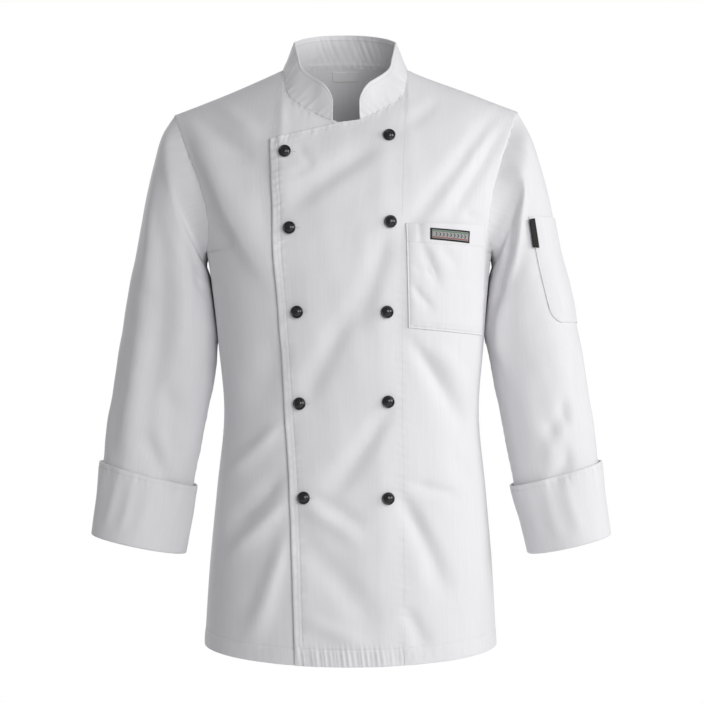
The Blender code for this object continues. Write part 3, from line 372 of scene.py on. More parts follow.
def puckered(run, away, kind, seed):
    """Relief of gathers that fade out on both sides of a seam."""
    heights = gather_heights(float(np.max(run)), kind.spacing, seed)
    return kind.height * (heights(run + kind.slant * away) - 0.35) * np.exp(-(away / kind.reach) ** 2)


def roll(away, high, wide):
    """A soft roll of cloth along a line."""
    return high * np.exp(-(away / wide) ** 2)


def groove(away, deep=0.0006, wide=0.0009):
    """The dent that a line of stitches pulls into the cloth."""
    return roll(away, -deep, wide)


def doubled(away, extra=0.0007, fade=0.0012):
    """How much thicker cloth is where an edge is turned in; away is the distance inside the turned part."""
    return extra * ease(away / fade)


def put(name, data):
    """Adds an object to the scene."""
    piece = bpy.data.objects.new(name, data)
    bpy.context.scene.collection.objects.link(piece)
    return piece


def shell(name, middle, out, edge, thick, closed=False):
    """A sheet of cloth with two faces that meet in a rounded edge. edge is each point's distance from it."""
    rows, columns = middle.shape[:2]
    half = np.broadcast_to(np.asarray(thick) / 2, edge.shape)
    swell = half * np.sqrt(1 - (1 - np.clip(edge / half, 0, 1)) ** 2)
    shut = edge <= 1e-9
    top = (middle + out * swell[..., None]).reshape(-1, 3)
    bottom = (middle - out * swell[..., None]).reshape(-1, 3)[~shut.ravel()]
    upper = np.arange(rows * columns).reshape(rows, columns)
    lower = upper.copy()
    lower[~shut] = rows * columns + np.arange(len(bottom))
    across, down = along(middle, 1).mean(0), along(middle, 0).mean(1)
    if closed:
        upper, lower = np.hstack([upper, upper[:, :1]]), np.hstack([lower, lower[:, :1]])
        across = np.append(across, across[-1] + np.linalg.norm(middle[:, 0] - middle[:, -1], axis=-1).mean())
    spread = np.stack(np.meshgrid(across, down), -1)

    def corners(grid):
        return np.stack([grid[:-1, :-1], grid[:-1, 1:], grid[1:, 1:], grid[1:, :-1]], 2)

    faces = np.concatenate([corners(upper).reshape(-1, 4), corners(lower).reshape(-1, 4)[:, ::-1]])
    mesh = bpy.data.meshes.new(name)
    mesh.from_pydata(np.concatenate([top, bottom]), [], faces)
    weave = mesh.uv_layers.new(name="weave")
    spread = corners(spread).reshape(-1, 4, 2)
    weave.uv.foreach_set("vector", np.concatenate([spread, spread[:, ::-1]]).astype(np.float32).ravel())
    mesh.shade_smooth()
    return put(name, mesh)


def settle(node, **values):
    """Sets a node's own sockets; their names are given with _ for each space."""
    for socket, value in values.items():
        node.inputs[socket.replace("_", " ")].default_value = value


def new_material(name, **values):
    """A new material, its nodes, its links, and its shader with these values."""
    made = bpy.data.materials.new(name)
    made.use_nodes = True
    nodes = made.node_tree.nodes
    settle(nodes["Principled BSDF"], **values)
    return made, nodes, made.node_tree.links, nodes["Principled BSDF"]


def sewing_thread():
    """Spun polyester thread, a little brighter than the cloth, with the twist of its plies."""
    if "white_thread" in bpy.data.materials:
        return bpy.data.materials["white_thread"]
    made, nodes, links, shader = new_material("white_thread", Base_Color=(0.86, 0.86, 0.87, 1), Roughness=0.6,
                                              Sheen_Weight=0.15)
    place = nodes.new("ShaderNodeTexCoord")
    twist = nodes.new("ShaderNodeTexWave")
    settle(twist, Scale=900.0)
    bump = nodes.new("ShaderNodeBump")
    settle(bump, Strength=0.4, Distance=0.0001)
    links.new(place.outputs["Object"], twist.inputs["Vector"])
    links.new(twist.outputs["Fac"], bump.inputs["Height"])
    links.new(bump.outputs["Normal"], shader.inputs["Normal"])
    return made


def stitches(name, lines, pitch=0.0030, long=0.0022, thick=0.00021):
    """Stitches along lines of cloth: short raised loops of thread, joined into one piece."""
    bend = np.linspace(-1, 1, 5)
    turn = np.linspace(0, 2 * math.pi, 5)[:-1] + math.pi / 4
    points, count = [], 0
    for line in lines:
        run = np.concatenate([[0], np.cumsum(np.linalg.norm(np.diff(line.points, axis=0), axis=1))])
        number = max(int(run[-1] / pitch), 1)
        at = ((np.arange(number) + 0.5) * run[-1] / number)[:, None] + bend * long / 2
        middle = np.stack([np.interp(at, run, line.points[:, i]) for i in range(3)], -1)
        up = np.stack([np.interp(at, run, line.out[:, i]) for i in range(3)], -1)
        side = np.cross(np.gradient(middle, axis=1), up)
        side /= np.linalg.norm(side, axis=-1, keepdims=True)
        middle = middle + up * (thick * (1.3 - 2.4 * bend**4))[None, :, None]
        girth = (thick * np.sqrt(1 - 0.75 * bend**2))[None, :, None, None]
        rings = np.cos(turn)[:, None] * side[:, :, None] + np.sin(turn)[:, None] * up[:, :, None]
        points.append((middle[:, :, None] + girth * rings).reshape(-1, 3))
        count += number
    sides = [[i + j, i + (j + 1) % 4, i + 4 + (j + 1) % 4, i + 4 + j] for i in range(0, 16, 4) for j in range(4)]
    loop = np.array(sides + [[3, 2, 1, 0], [16, 17, 18, 19]])
    mesh = bpy.data.meshes.new(name)
    mesh.from_pydata(np.concatenate(points), [], (loop[None] + 20 * np.arange(count)[:, None, None]).reshape(-1, 4))
    mesh.shade_smooth()
    mesh.materials.append(sewing_thread())
    piece = put(name, mesh)
    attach(piece, "root")
    return piece


TWILL = (0.80, 0.795, 0.812)
TWILL_SHADE = 0.965


def white_twill():
    """Twill with fine diagonal ribs, a little slub down the warp, soft press marks and a slight sheen."""
    if "white_twill_cloth" in bpy.data.materials:
        return bpy.data.materials["white_twill_cloth"]
    made, nodes, links, shader = new_material("white_twill_cloth", Roughness=0.82, Specular_IOR_Level=0.3,
                                              Sheen_Weight=0.12, Sheen_Roughness=0.5)
    cloth = nodes.new("ShaderNodeUVMap")
    cloth.uv_map = "weave"

    def texture(kind, scale, stretch=(1, 1, 1), turn=0.0, detail=2.0):
        mapping = nodes.new("ShaderNodeMapping")
        settle(mapping, Scale=stretch, Rotation=(0, 0, turn))
        made_texture = nodes.new(kind)
        settle(made_texture, Scale=scale, Detail=detail)
        links.new(cloth.outputs["UV"], mapping.inputs["Vector"])
        links.new(mapping.outputs["Vector"], made_texture.inputs["Vector"])
        return made_texture

    def bump(height, strength, distance, before=None):
        made_bump = nodes.new("ShaderNodeBump")
        settle(made_bump, Strength=strength, Distance=distance)
        links.new(height.outputs["Fac"], made_bump.inputs["Height"])
        if before:
            links.new(before.outputs["Normal"], made_bump.inputs["Normal"])
        return made_bump

    rib = texture("ShaderNodeTexWave", 420.0, turn=math.radians(58), detail=1.0)
    settle(rib, Distortion=1.2)
    slub = texture("ShaderNodeTexNoise", 420.0, stretch=(1.0, 0.035, 1))
    press = texture("ShaderNodeTexNoise", 26.0, detail=3.0)
    spread = nodes.new("ShaderNodeMapRange")
    settle(spread, From_Min=0.3, From_Max=0.7)
    links.new(slub.outputs["Fac"], spread.inputs["Value"])
    tint = nodes.new("ShaderNodeMix")
    tint.data_type = "RGBA"
    tint.inputs[6].default_value = (*(c * TWILL_SHADE for c in TWILL), 1)
    tint.inputs[7].default_value = (*TWILL, 1)
    links.new(spread.outputs["Result"], tint.inputs[0])
    links.new(tint.outputs[2], shader.inputs["Base Color"])
    pressed = bump(press, strength=0.4, distance=0.0014)
    slubbed = bump(slub, strength=0.2, distance=0.0001, before=pressed)
    ribbed = bump(rib, strength=0.09, distance=0.00012, before=slubbed)
    links.new(ribbed.outputs["Normal"], shader.inputs["Normal"])
    return made


def sew_on(piece, nodes, cloth=white_twill):
    """Gives a cloth piece its finish and its body, and hides the nodes it stands for."""
    piece.data.materials.append(cloth())
    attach(piece, "root")
    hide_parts(*nodes)


BESIDE_EDGE = {"first": (np.s_[0], np.s_[1]), "last": (np.s_[-1], np.s_[-2]),
               "start": (np.s_[:, 0], np.s_[:, 1]), "end": (np.s_[:, -1], np.s_[:, -2])}


def cut(name, cloth, relief=0.0, thick=CLOTH, sides=("first", "last", "start", "end"), closed=False, sewn=()):
    """Makes a piece of cloth whose outside is the given one plus relief. Returns it and its outside."""
    thick = np.broadcast_to(thick, cloth.points.shape[:2])
    outside = cloth.points + cloth.out * np.broadcast_to(relief, thick.shape)[..., None]
    for edge, inside in [BESIDE_EDGE[side] for side in sewn]:
        outside[inside] = outside[edge] + (outside[inside] - outside[edge]) * 0.15
    middle = outside - cloth.out * (thick / 2)[..., None]
    return shell(name, middle, cloth.out, rim(cloth.points, sides, sewn), thick, closed), Cloth(outside, cloth.out)


ROW_CELL, BACK_CELL = 0.0026, 0.0038
HEM_TO_ARMPIT, ARMPIT_TO_BACK_TOP = 0.494, 0.220
LOW_SPOTS = places(HEM_TO_ARMPIT, ROW_CELL, [HEM_DEEP], last=False)
HALF_BACK, NECK_PART = 0.262, 0.086
OVER_THE_RIDGE = (0.18, 0.38, 0.58, 0.76, 0.90, 0.965, 0.985, 1.0)


def lay_back():
    """The back's cloth, from its hem up and over the shoulder ridge to its seams, and its columns' distances."""
    half = places(HALF_BACK, BACK_CELL, first=False)
    half[np.argmin(np.abs(half - NECK_PART))] = NECK_PART
    high = places(ARMPIT_TO_BACK_TOP, ROW_CELL, first=False, last=False)
    beyond = np.clip((half - NECK_PART) / (HALF_BACK - NECK_PART), 0, 1)
    rows = []
    for level, (below, height) in enumerate(row_heights("back", back_top, LOW_SPOTS, high)):
        x_out = meet(side_edge(below, "back"), height)
        top_x = NECK_WIDTH * np.clip(half / NECK_PART, 0, 1) + (x_out - NECK_WIDTH) * beyond
        low_x = lay_across(lambda x: np.minimum(height(x), ARMPIT), 0.0, x_out, "back", half, (0.0, 0.03))
        share = ease((level - len(LOW_SPOTS) + 20) / (len(high) + 14))
        x = low_x * (1 - share) + top_x * share
        x = np.concatenate([-x[:0:-1], x])
        rows.append(on_body(x, height(x), "back"))
    for over in OVER_THE_RIDGE:
        roof = (1 - seam_share(x) ** ROOF_RISE) ** (1 / ROOF_ROUND) * over
        z = ARMPIT + (ridge(x, "front") - ARMPIT) * (1 - roof**ROOF_ROUND) ** (1 / ROOF_RISE)
        behind = on_body(x, back_top(x) + (back_neck(x) - back_top(x)) * over, "back")
        ahead = on_body(x, z, "front")
        inside = (np.abs(x) < NECK_WIDTH - 1e-6)[:, None]
        rows.append(Cloth(*(np.where(inside, b, a) for b, a in zip(behind, ahead))))
    return Cloth(*(np.array(part) for part in zip(*rows)))


def turned_hem(up):
    """A turned-up hem's relief and how much thicker it is, by the distance up from the edge."""
    inside = HEM_DEEP + 0.0008 - up
    return groove(up - HEM_DEEP, 0.0003) + 0.5 * doubled(inside, 0.0009, 0.0040), doubled(inside)


def hem_stitches(name, face, up):
    row = int(np.argmin(np.abs(up.mean(1) - HEM_DEEP)))
    return stitches(name, [Cloth(face.points[row], face.out[row])])


BACK_HEM_GATHERS = Gathers(0.0062, 0.008, 0.0007, 0.2)
back_cloth = lay_back()
back_up = along(back_cloth.points, 0)
back_relief, hem_thick = turned_hem(back_up)
back_relief = back_relief + puckered(along(back_cloth.points, 1), back_up - HEM_DEEP, BACK_HEM_GATHERS, 11)
back, back_face = cut("back_panel", back_cloth, back_relief, CLOTH + hem_thick, sewn=("last", "start", "end"))
back_thread = hem_stitches("back_hem_stitches", back_face, back_up)
sew_on(back, ["back"])

# --------------------------------------------------------------------------------------------- the side fronts
# Two panels of the same twill, one each side, from the side seam and the armhole in to the long seam that shapes
# the front. They meet the back at the sides and at the shoulders, and the overlapping fronts at that long seam.
LEFT_SEAM = [Edge(-0.740, 0.0645), Edge(-0.550, 0.0625), Edge(-0.350, 0.0615),
             Edge(-0.170, 0.0655), Edge(-0.090, 0.0712), Edge(-0.040, 0.0768), Edge(0.000, 0.0800)]
RIGHT_SEAM = [Edge(-0.740, -0.0620), Edge(-0.535, -0.0700), Edge(-0.416, -0.0770), Edge(-0.236, -0.0860),
              Edge(-0.150, -0.0900), Edge(-0.097, -0.0915), Edge(-0.041, -0.0860), Edge(0.000, -0.0800)]
LAP_EDGE = [Edge(-0.740, -0.0660), Edge(-0.535, -0.0737), Edge(-0.416, -0.0810),
            Edge(-0.236, -0.0900), Edge(-0.098, -0.0937)]
Corner = namedtuple("Corner", "x height")
LAP_TOP = [Corner(-0.0937, -0.0982), Corner(-0.0107, -0.0777), Corner(0.0165, -0.0735)]
TUCK = 0.0016
SIDE_WIDE, SIDE_CELL, ARMPIT_TO_SHOULDER = 0.190, 0.0030, 0.200
SIDE_SPOTS = places(SIDE_WIDE, SIDE_CELL)
HIGH_SPOTS = places(ARMPIT_TO_SHOULDER, ROW_CELL, first=False)


def shoulder(x):
    """Height of the shoulder seam."""
    return ARMPIT + (ridge(x, "front") - ARMPIT) * seam_share(x)


def tuck(x, z):
    """How far the lower front is pressed in below the overlap."""
    top = np.interp(x, [c.x for c in LAP_TOP], [c.height for c in LAP_TOP])
    inside = np.minimum(x - column(LAP_EDGE, "height", "x", z), top - z)
    return -TUCK * ease((inside + 0.006) / 0.012)


def lay_side(mirror, seam):
    """A side front's cloth, from the hem to the shoulder seam, with its columns from right to left."""
    spots = SIDE_SPOTS if mirror > 0 else SIDE_SPOTS[-1] - SIDE_SPOTS[::-1]
    rows = []
    for below, height in row_heights("front", shoulder, LOW_SPOTS, HIGH_SPOTS):
        x_out, x_in = mirror * meet(side_edge(below, "front"), height), meet(edge_of(seam), height)
        x = lay_across(height, min(x_out, x_in), max(x_out, x_in), "front", spots)
        rows.append((x, height(x)))
    x, z = np.array(rows).transpose(1, 0, 2)
    return on_body(x, z, "front", tuck(x, z) if mirror < 0 else 0.0)


SIDE_GATHERS = {"hem": Gathers(0.0058, 0.011, 0.0008, 0.15), "seam": Gathers(0.0085, 0.009, 0.0007, 0.3),
                "shoulder": Gathers(0.0120, 0.009, 0.0006), "armhole": Gathers(0.0130, 0.008, 0.0006)}
for side, mirror, seam, seed in (("left", 1, LEFT_SEAM, 21), ("right", -1, RIGHT_SEAM, 31)):
    cloth = lay_side(mirror, seam)
    up, across = along(cloth.points, 0), along(cloth.points, 1)
    to_seam = across if mirror > 0 else across[:, -1:] - across
    to_armhole = across[:, -1:] - across if mirror > 0 else across
    relief, hem_thick = turned_hem(up)
    relief = (relief + puckered(across, up - HEM_DEEP * 0.5, SIDE_GATHERS["hem"], seed)
              + puckered(up, to_seam, SIDE_GATHERS["seam"], seed + 1)
              + puckered(across, up[-1:] - up, SIDE_GATHERS["shoulder"], seed + 2)
              + puckered(up, to_armhole, SIDE_GATHERS["armhole"], seed + 3)
              + roll(to_armhole - 0.0020, 0.0007, 0.0018) * ease((up - 0.50) / 0.03))
    front, face = cut(f"front_{side}_side_panel", cloth, relief, CLOTH + hem_thick, sewn=("last", "start", "end"))
    thread = hem_stitches(f"front_{side}_side_hem_stitches", face, up)
    solids = ["front_left_side"] if side == "left" else ["front_right_side_top", "front_right_side_low"]
    sew_on(front, solids)

# --------------------------------------------------------------------------- the overlap and the front below it
# The left front comes far over to the wearer's right. Its free edge and its slanted top are faced and top-stitched,
# so they are thicker and stand a little proud. The right front lies flat below it, out of sight but for its neck.
LAP_LIFT = 0.0024
LAP_WIDE, LAP_CELL = 0.158, 0.0017
UNDER_WIDE, UNDER_CELL = 0.128, 0.0024
FACED_EDGE, FACED_THICK = 0.0100, 0.0035
TOP_STITCH = 0.0045
LAP_GATHERS = {"edge": Gathers(0.0092, 0.0060, 0.0020, -0.2), "hem": Gathers(0.0052, 0.012, 0.0021, 0.1),
               "seam": Gathers(0.0085, 0.009, 0.0007, -0.3), "top": Gathers(0.0056, 0.007, 0.0017, 0.3)}
UNDER_NECK_GATHERS = Gathers(0.0070, 0.012, 0.0030, 0.5)
FIRST_TOP_X = 0.0165
UNDER_EDGE = [Edge(-0.740, 0.0340), Edge(-0.092, 0.0380)]
UNDER_TOP = [Corner(0.0380, -0.0920), Corner(0.0100, -0.0830), Corner(0.0000, -0.0785)]
NECKLINE = [Corner(0.0000, -0.0785), Corner(0.0165, -0.0735), Corner(0.0300, -0.0670),
            Corner(0.0420, -0.0600), Corner(0.0560, -0.0515), Corner(0.0685, -0.0405),
            Corner(0.0745, -0.0220), Corner(0.0780, 0.0000)]


def lap_lift(x, z):
    """How far the overlap stands off the front below it."""
    return LAP_LIFT * ease((column(LEFT_SEAM, "height", "x", z) - x) / 0.030)


def neckline(count):
    """Even points (x, z) along half the front neckline, from the collar's front end to the shoulder seam."""
    x, z = np.array(NECKLINE).T
    run = np.concatenate([[0], np.cumsum(np.hypot(np.diff(x), np.diff(z)))])
    at = np.linspace(np.interp(FIRST_TOP_X, x, run), run[-1], count)
    points = np.stack([smooth(run, x, at), smooth(run, z, at)], 1)
    points[-1] = NECK_WIDTH, shoulder(NECK_WIDTH)
    return points


def lay_centre(left, right, sewn, top, spots, lift):
    """A front's cloth between two edges, one of them sewn, under the line (x, z) of its top."""
    heights = row_heights("front", shoulder, LOW_SPOTS, HIGH_SPOTS)
    rows = []
    for below, height in heights[:len(LOW_SPOTS)]:
        x = lay_across(height, meet(left, height), meet(right, height), "front", spots)
        rows.append(np.stack([x, height(x)], 1))
    floor, share = rows[-1], (spots / spots[-1])[:, None]
    corner = meet(sewn, shoulder)
    top = np.array(top)
    top[0 if sewn is left else -1] = corner, shoulder(corner)
    run = along(top[None], 1)[0]
    top = np.stack([np.interp(fit(spots, run[-1]), run, top[:, i]) for i in range(2)], 1)
    for spot, (below, height) in zip(HIGH_SPOTS[1:], heights[len(LOW_SPOTS):]):
        t = spot / HIGH_SPOTS[-1]
        ends = []
        for edge, start, end in ((left, floor[0], top[0]), (right, floor[-1], top[-1])):
            x, z = meet(sewn, height), start[1] + (end[1] - start[1]) * t
            ends.append(np.array([x, height(x)] if edge is sewn else [edge(z), z]))
        across = floor * (1 - t) + top * t
        rows.append(across + (1 - share) * (ends[0] - across[0]) + share * (ends[1] - across[-1]))
    x, z = np.array(rows).transpose(2, 0, 1)
    return on_body(x, z, "front", lift(x, z))


left_seam, right_seam = edge_of(LEFT_SEAM), edge_of(RIGHT_SEAM)
lap_top = np.concatenate([np.array(LAP_TOP)[:-1], neckline(60)])
lap_cloth = lay_centre(edge_of(LAP_EDGE), left_seam, left_seam, lap_top,
                       places(LAP_WIDE, LAP_CELL, [FACED_EDGE]), lap_lift)
up, across = along(lap_cloth.points, 0), along(lap_cloth.points, 1)
to_seam, to_top = across[:, -1:] - across, up[-1:] - up
turned_in = np.maximum.reduce([FACED_EDGE + 0.0008 - across, HEM_DEEP + 0.0008 - up, FACED_EDGE + 0.0008 - to_top])
past_edge = ease((across - FACED_EDGE) / 0.004)
lap_thick = doubled(turned_in, fade=FACED_THICK)
lap_relief = (groove(across - FACED_EDGE, 0.0004) + groove(up - HEM_DEEP, 0.0004) * past_edge
              + groove(to_top - TOP_STITCH, 0.0004) * past_edge + 0.4 * lap_thick
              + roll(across - 0.0022, 0.0010, 0.0020) + roll(to_top - 0.0020, 0.0007, 0.0018)
              + puckered(up, across - 0.75 * FACED_EDGE, LAP_GATHERS["edge"], 41)
              + puckered(across, up - HEM_DEEP * 0.5, LAP_GATHERS["hem"], 42)
              + puckered(up, to_seam, LAP_GATHERS["seam"], 22)
              + puckered(across, to_top - 0.005, LAP_GATHERS["top"], 44))
lap, lap_face = cut("front_left_centre_panel", lap_cloth, lap_relief, CLOTH + lap_thick, sewn=("end",))
edge_column = int(np.argmin(np.abs(across.mean(0) - FACED_EDGE)))
hem_row = int(np.argmin(np.abs(up.mean(1) - HEM_DEEP)))
top_row = int(np.argmin(np.abs(to_top.mean(1) - TOP_STITCH)))
lap_lines = np.s_[:top_row, edge_column], np.s_[hem_row, edge_column:], np.s_[top_row, edge_column:]
lap_thread = stitches("front_left_centre_stitches",
                      [Cloth(lap_face.points[at], lap_face.out[at]) for at in lap_lines])
sew_on(lap, ["front_left_centre"])

under_top = np.array([(c.x, c.height) for c in UNDER_TOP[::-1]])
under_top = np.concatenate([neckline(60)[::-1] * [-1, 1], under_top])
under_cloth = lay_centre(right_seam, edge_of(UNDER_EDGE), right_seam, under_top,
                         places(UNDER_WIDE, UNDER_CELL), tuck)
up, across = along(under_cloth.points, 0), along(under_cloth.points, 1)
under_relief = (puckered(up, across, SIDE_GATHERS["seam"], 32)
                + puckered(across, up[-1:] - up - 0.004, UNDER_NECK_GATHERS, 52))
under, _ = cut("front_right_centre_panel", under_cloth, under_relief, sewn=("last", "start"))
sew_on(under, ["front_right_centre"])

# ------------------------------------------------------------------------------------------------- the sleeves
# Long one-piece sleeves of the same twill, set into the armholes with a little ease and closed by a seam under the
# arm. They hang slightly bent, with drag folds at the elbow, and end inside the turned-back cuffs.
Ring = namedtuple("Ring", "inner_x inner_z outer_x outer_z front back y slim trim")
SLEEVE = [
    Ring(0.18280, -0.2440, 0.23000, -0.0780, 0.0600, 0.0590, 0.0000, 0.00000, 0.00000),
    Ring(0.18020, -0.2560, 0.24520, -0.1220, 0.0620, 0.0610, 0.0000, 0.00000, 0.00000),
    Ring(0.17740, -0.2720, 0.25770, -0.1750, 0.0620, 0.0610, 0.0000, 0.00000, 0.00050),
    Ring(0.17380, -0.2980, 0.26850, -0.2300, 0.0610, 0.0600, 0.0010, 0.00000, 0.00150),
    Ring(0.17020, -0.3320, 0.28040, -0.2840, 0.0590, 0.0590, 0.0020, 0.00000, 0.00110),
    Ring(0.17400, -0.3720, 0.29130, -0.3430, 0.0560, 0.0570, 0.0030, 0.00300, 0.00080),
    Ring(0.18195, -0.4160, 0.30050, -0.3990, 0.0530, 0.0540, 0.0010, 0.00315, 0.00110),
    Ring(0.19085, -0.4630, 0.30800, -0.4480, 0.0490, 0.0500, -0.0040, 0.00295, 0.00150),
    Ring(0.20285, -0.5310, 0.31325, -0.5010, 0.0450, 0.0450, -0.0120, 0.00335, 0.00075),
    Ring(0.20955, -0.5700, 0.31825, -0.5470, 0.0430, 0.0420, -0.0190, 0.00615, 0.00025),
    Ring(0.21685, -0.6040, 0.32150, -0.5810, 0.0420, 0.0410, -0.0250, 0.00715, 0.00000),
]
SLEEVE_END = 0.955
SLEEVE_LENGTH = 0.545
TURNS_LONG = 300
ARMPIT_TURN, ARMPIT_FULL, ARMPIT_WIDE = 186, 0.0046, 18
SLEEVE_GATHERS = {"head": Gathers(0.0125, 0.012, 0.0012, 0.1), "under arm": Gathers(0.0110, 0.008, 0.0008)}
# A sleeve's folds are placed by degrees round it, 0 outermost and 90 in front, and by 300ths of its length.
CREASES = {
    "right": [
        Fold(36, 30, 66, 110, 12, 15, 0.0045),
        Fold(56, 80, 68, 290, 13, 18, 0.0050),
        Fold(198, -30, 200, 150, 13, 16, 0.0034),
        Fold(160, -50, 160, 150, 13, 15, 0.0030),
        Fold(84, 30, 86, 250, 16, 22, -0.0055, 1.00, 4),
        Fold(120, 20, 104, 200, 16, 22, 0.0035),
        Fold(92, 168, 150, 216, 10, 14, -0.0060, 1.00, 4),
        Fold(84, 196, 146, 250, 10, 14, 0.0040, 1.00, 4),
        Fold(80, 212, 140, 262, 8, 12, -0.0045),
        Fold(118, 66, 160, 76, 7, 9, -0.0035),
        Fold(112, 34, 152, 62, 10, 14, -0.0035),
        Fold(20, 150, 44, 240, 12, 18, -0.0030),
        Fold(250, 130, 212, 180, 12, 16, -0.0055),
        Fold(262, 170, 224, 226, 12, 16, 0.0045),
        Fold(300, 90, 290, 250, 18, 24, 0.0040),
        Fold(318, 40, 322, 200, 16, 22, -0.0035),
    ],
    "left": [
        Fold(70, -12, 84, 42, 8, 10, 0.0060),
        Fold(80, 20, 134, 86, 9, 11, 0.0075),
        Fold(122, 58, 148, 166, 9, 12, 0.0060),
        Fold(98, 0, 152, 104, 10, 14, -0.0070, 1.00, 3),
        Fold(198, -30, 200, 150, 13, 16, 0.0034),
        Fold(160, -50, 160, 150, 13, 15, 0.0030),
        Fold(60, 186, 106, 216, 8, 12, -0.0055, 1.00, 3),
        Fold(68, 200, 112, 236, 7, 10, 0.0035),
        Fold(66, 224, 112, 258, 8, 12, -0.0045, 1.00, 3),
        Fold(110, 150, 126, 250, 12, 16, 0.0030),
        Fold(30, 140, 48, 236, 12, 18, -0.0025),
        Fold(255, 140, 218, 190, 12, 16, -0.0055),
        Fold(262, 182, 226, 232, 12, 16, 0.0045),
        Fold(300, 90, 292, 250, 18, 24, 0.0040),
        Fold(316, 40, 322, 200, 16, 22, -0.0035),
    ],
}


def hole_line(mirror):
    """The armhole's edge from the shoulder down the front and up the back, and its angle round the arm."""
    share = (1 - np.cos(np.linspace(0, math.pi, 120))) / 2
    parts = []
    for face in ("front", "back"):
        edge = edge_of(ARMHOLE[face])
        top = meet(edge, lambda x: ridge(x, face))
        z = ridge(top, face) + (ARMPIT - ridge(top, face)) * share
        points = body(mirror * edge(z), z, face)
        parts.append(points if face == "front" else points[::-1])
    angles = [math.pi * along(part[None], 1)[0] / along(part[None], 1)[0, -1] for part in parts]
    return np.concatenate([parts[0], parts[1][1:]]), np.concatenate([angles[0], math.pi + angles[1][1:]])


def sleeve_shape(mirror):
    """A function giving the sleeve's outside at shares of its length and angles round it, folds left out."""
    hole, hole_angles = hole_line(mirror)

    def rings(angles):
        made = [np.stack([np.interp(angles % (2 * math.pi), hole_angles, hole[:, i]) for i in range(3)], -1)]
        for ring in SLEEVE:
            inner = np.array([ring.inner_x + mirror * ring.slim, ring.y, ring.inner_z])
            outer = np.array([ring.outer_x - mirror * ring.trim, ring.y, ring.outer_z])
            depth = np.where(np.sin(angles) > 0, ring.front, ring.back)
            points = ((inner + outer) / 2 + np.outer(np.cos(angles), (outer - inner) / 2)
                      - np.outer(depth * np.sin(angles), [0, 1, 0]))
            points[:, 0] += mirror * column(LEAN, "height", "shift", points[:, 2])
            made.append(points * [mirror, 1, 1])
        return np.array(made)

    middles = rings(hole_angles[:-1]).mean(axis=1)
    run = along(middles[None], 1)[0]
    return lambda down, angles: smooth(run / run[-1], rings(np.asarray(angles)), down)


SHAPE = {"left": sleeve_shape(1), "right": sleeve_shape(-1)}
ROUND = np.linspace(0, 2 * math.pi, 132, endpoint=False)


def on_sleeve(side, down, angles, lift=0.0):
    """A stretch of cloth on a sleeve; past 1 of its length it goes straight on."""
    down, angles, lift = np.asarray(down, float), np.asarray(angles, float), np.asarray(lift, float)
    shape = SHAPE[side]
    heart = shape(np.minimum(down, 1.0), ROUND).mean(axis=1, keepdims=True)
    grid = shape(np.minimum(down, 1.0), angles)
    away = grid - heart
    away /= np.linalg.norm(away, axis=-1, keepdims=True)
    degrees = np.degrees(angles)[None, :] % 360
    height = fold_height(CREASES[side], degrees, down[:, None] * TURNS_LONG)
    height = height + rumple(degrees * 0.0012, down[:, None] * SLEEVE_LENGTH)
    calm = ease(down / 0.05) * (1 - ease((down - 0.80) / 0.10))
    end = shape(np.array([0.97, 1.0]), ROUND).mean(axis=1)
    straight = (end[1] - end[0]) / np.linalg.norm(end[1] - end[0])
    past = np.maximum(down - 1.0, 0) * SLEEVE_LENGTH
    near_armpit = ease(down / 0.02) * (1 - ease((down - 0.08) / 0.16))
    full = roll(degrees - ARMPIT_TURN, ARMPIT_FULL, ARMPIT_WIDE) * near_armpit[:, None]
    grid = grid + away * (height * calm[:, None] + full + lift)[..., None] + straight * past[:, None, None]
    closed = len(angles) == len(ROUND)
    around = np.roll(grid, -1, 1) - np.roll(grid, 1, 1) if closed else np.gradient(grid, axis=1)
    out = np.cross(around, np.gradient(grid, axis=0)) if len(down) > 1 else away
    out /= np.linalg.norm(out, axis=-1, keepdims=True)
    return Cloth(grid, out * np.sign(np.sum(out * away)))


SLEEVE_CELL, SLEEVE_HEAD = 0.0036, 0.0040
SLEEVE_SPOTS = places(SLEEVE_LENGTH * SLEEVE_END, SLEEVE_CELL, [SLEEVE_HEAD], last=False) / SLEEVE_LENGTH
for side, seed in (("left", 61), ("right", 71)):
    cloth = on_sleeve(side, SLEEVE_SPOTS, ROUND)
    down, around = along(cloth.points, 0), along(cloth.points, 1)
    under_arm = (ROUND[None, :] - math.pi) * 0.066
    relief = (puckered(around, down, SLEEVE_GATHERS["head"], seed) + groove(under_arm, 0.0008, 0.0012)
              + puckered(down, under_arm, SLEEVE_GATHERS["under arm"], seed + 1))
    sleeve, _ = cut(f"sleeve_{side}_cloth", cloth, relief, sides=("first", "last"), closed=True, sewn=("first",))
    sew_on(sleeve, [f"sleeve_{side}_top", f"sleeve_{side}_low"])

# --------------------------------------------------------------------------------------------------- the cuffs
# Each sleeve ends in a deep double cuff, turned back over it: a short leg inside, a soft fold at the wrist and a
# wide band outside. The band's upper edge is top-stitched and gapes a little on the side next to the body.
CUFF = 0.0017
CUFF_TOP, CUFF_END = 0.828, 1.010
CUFF_STAND = 0.0030
CUFF_EDGE_STITCH = 0.0065
CUFF_GAPE = {"left": 0.0030, "right": 0.0026}
CUFF_BAND, CUFF_TURN = 0.1026, 0.0036
CUFF_GATHERS = {"stitch": Gathers(0.0062, 0.006, 0.0013, 0.2), "band": Gathers(0.0320, 0.060, 0.0020, 0.2)}


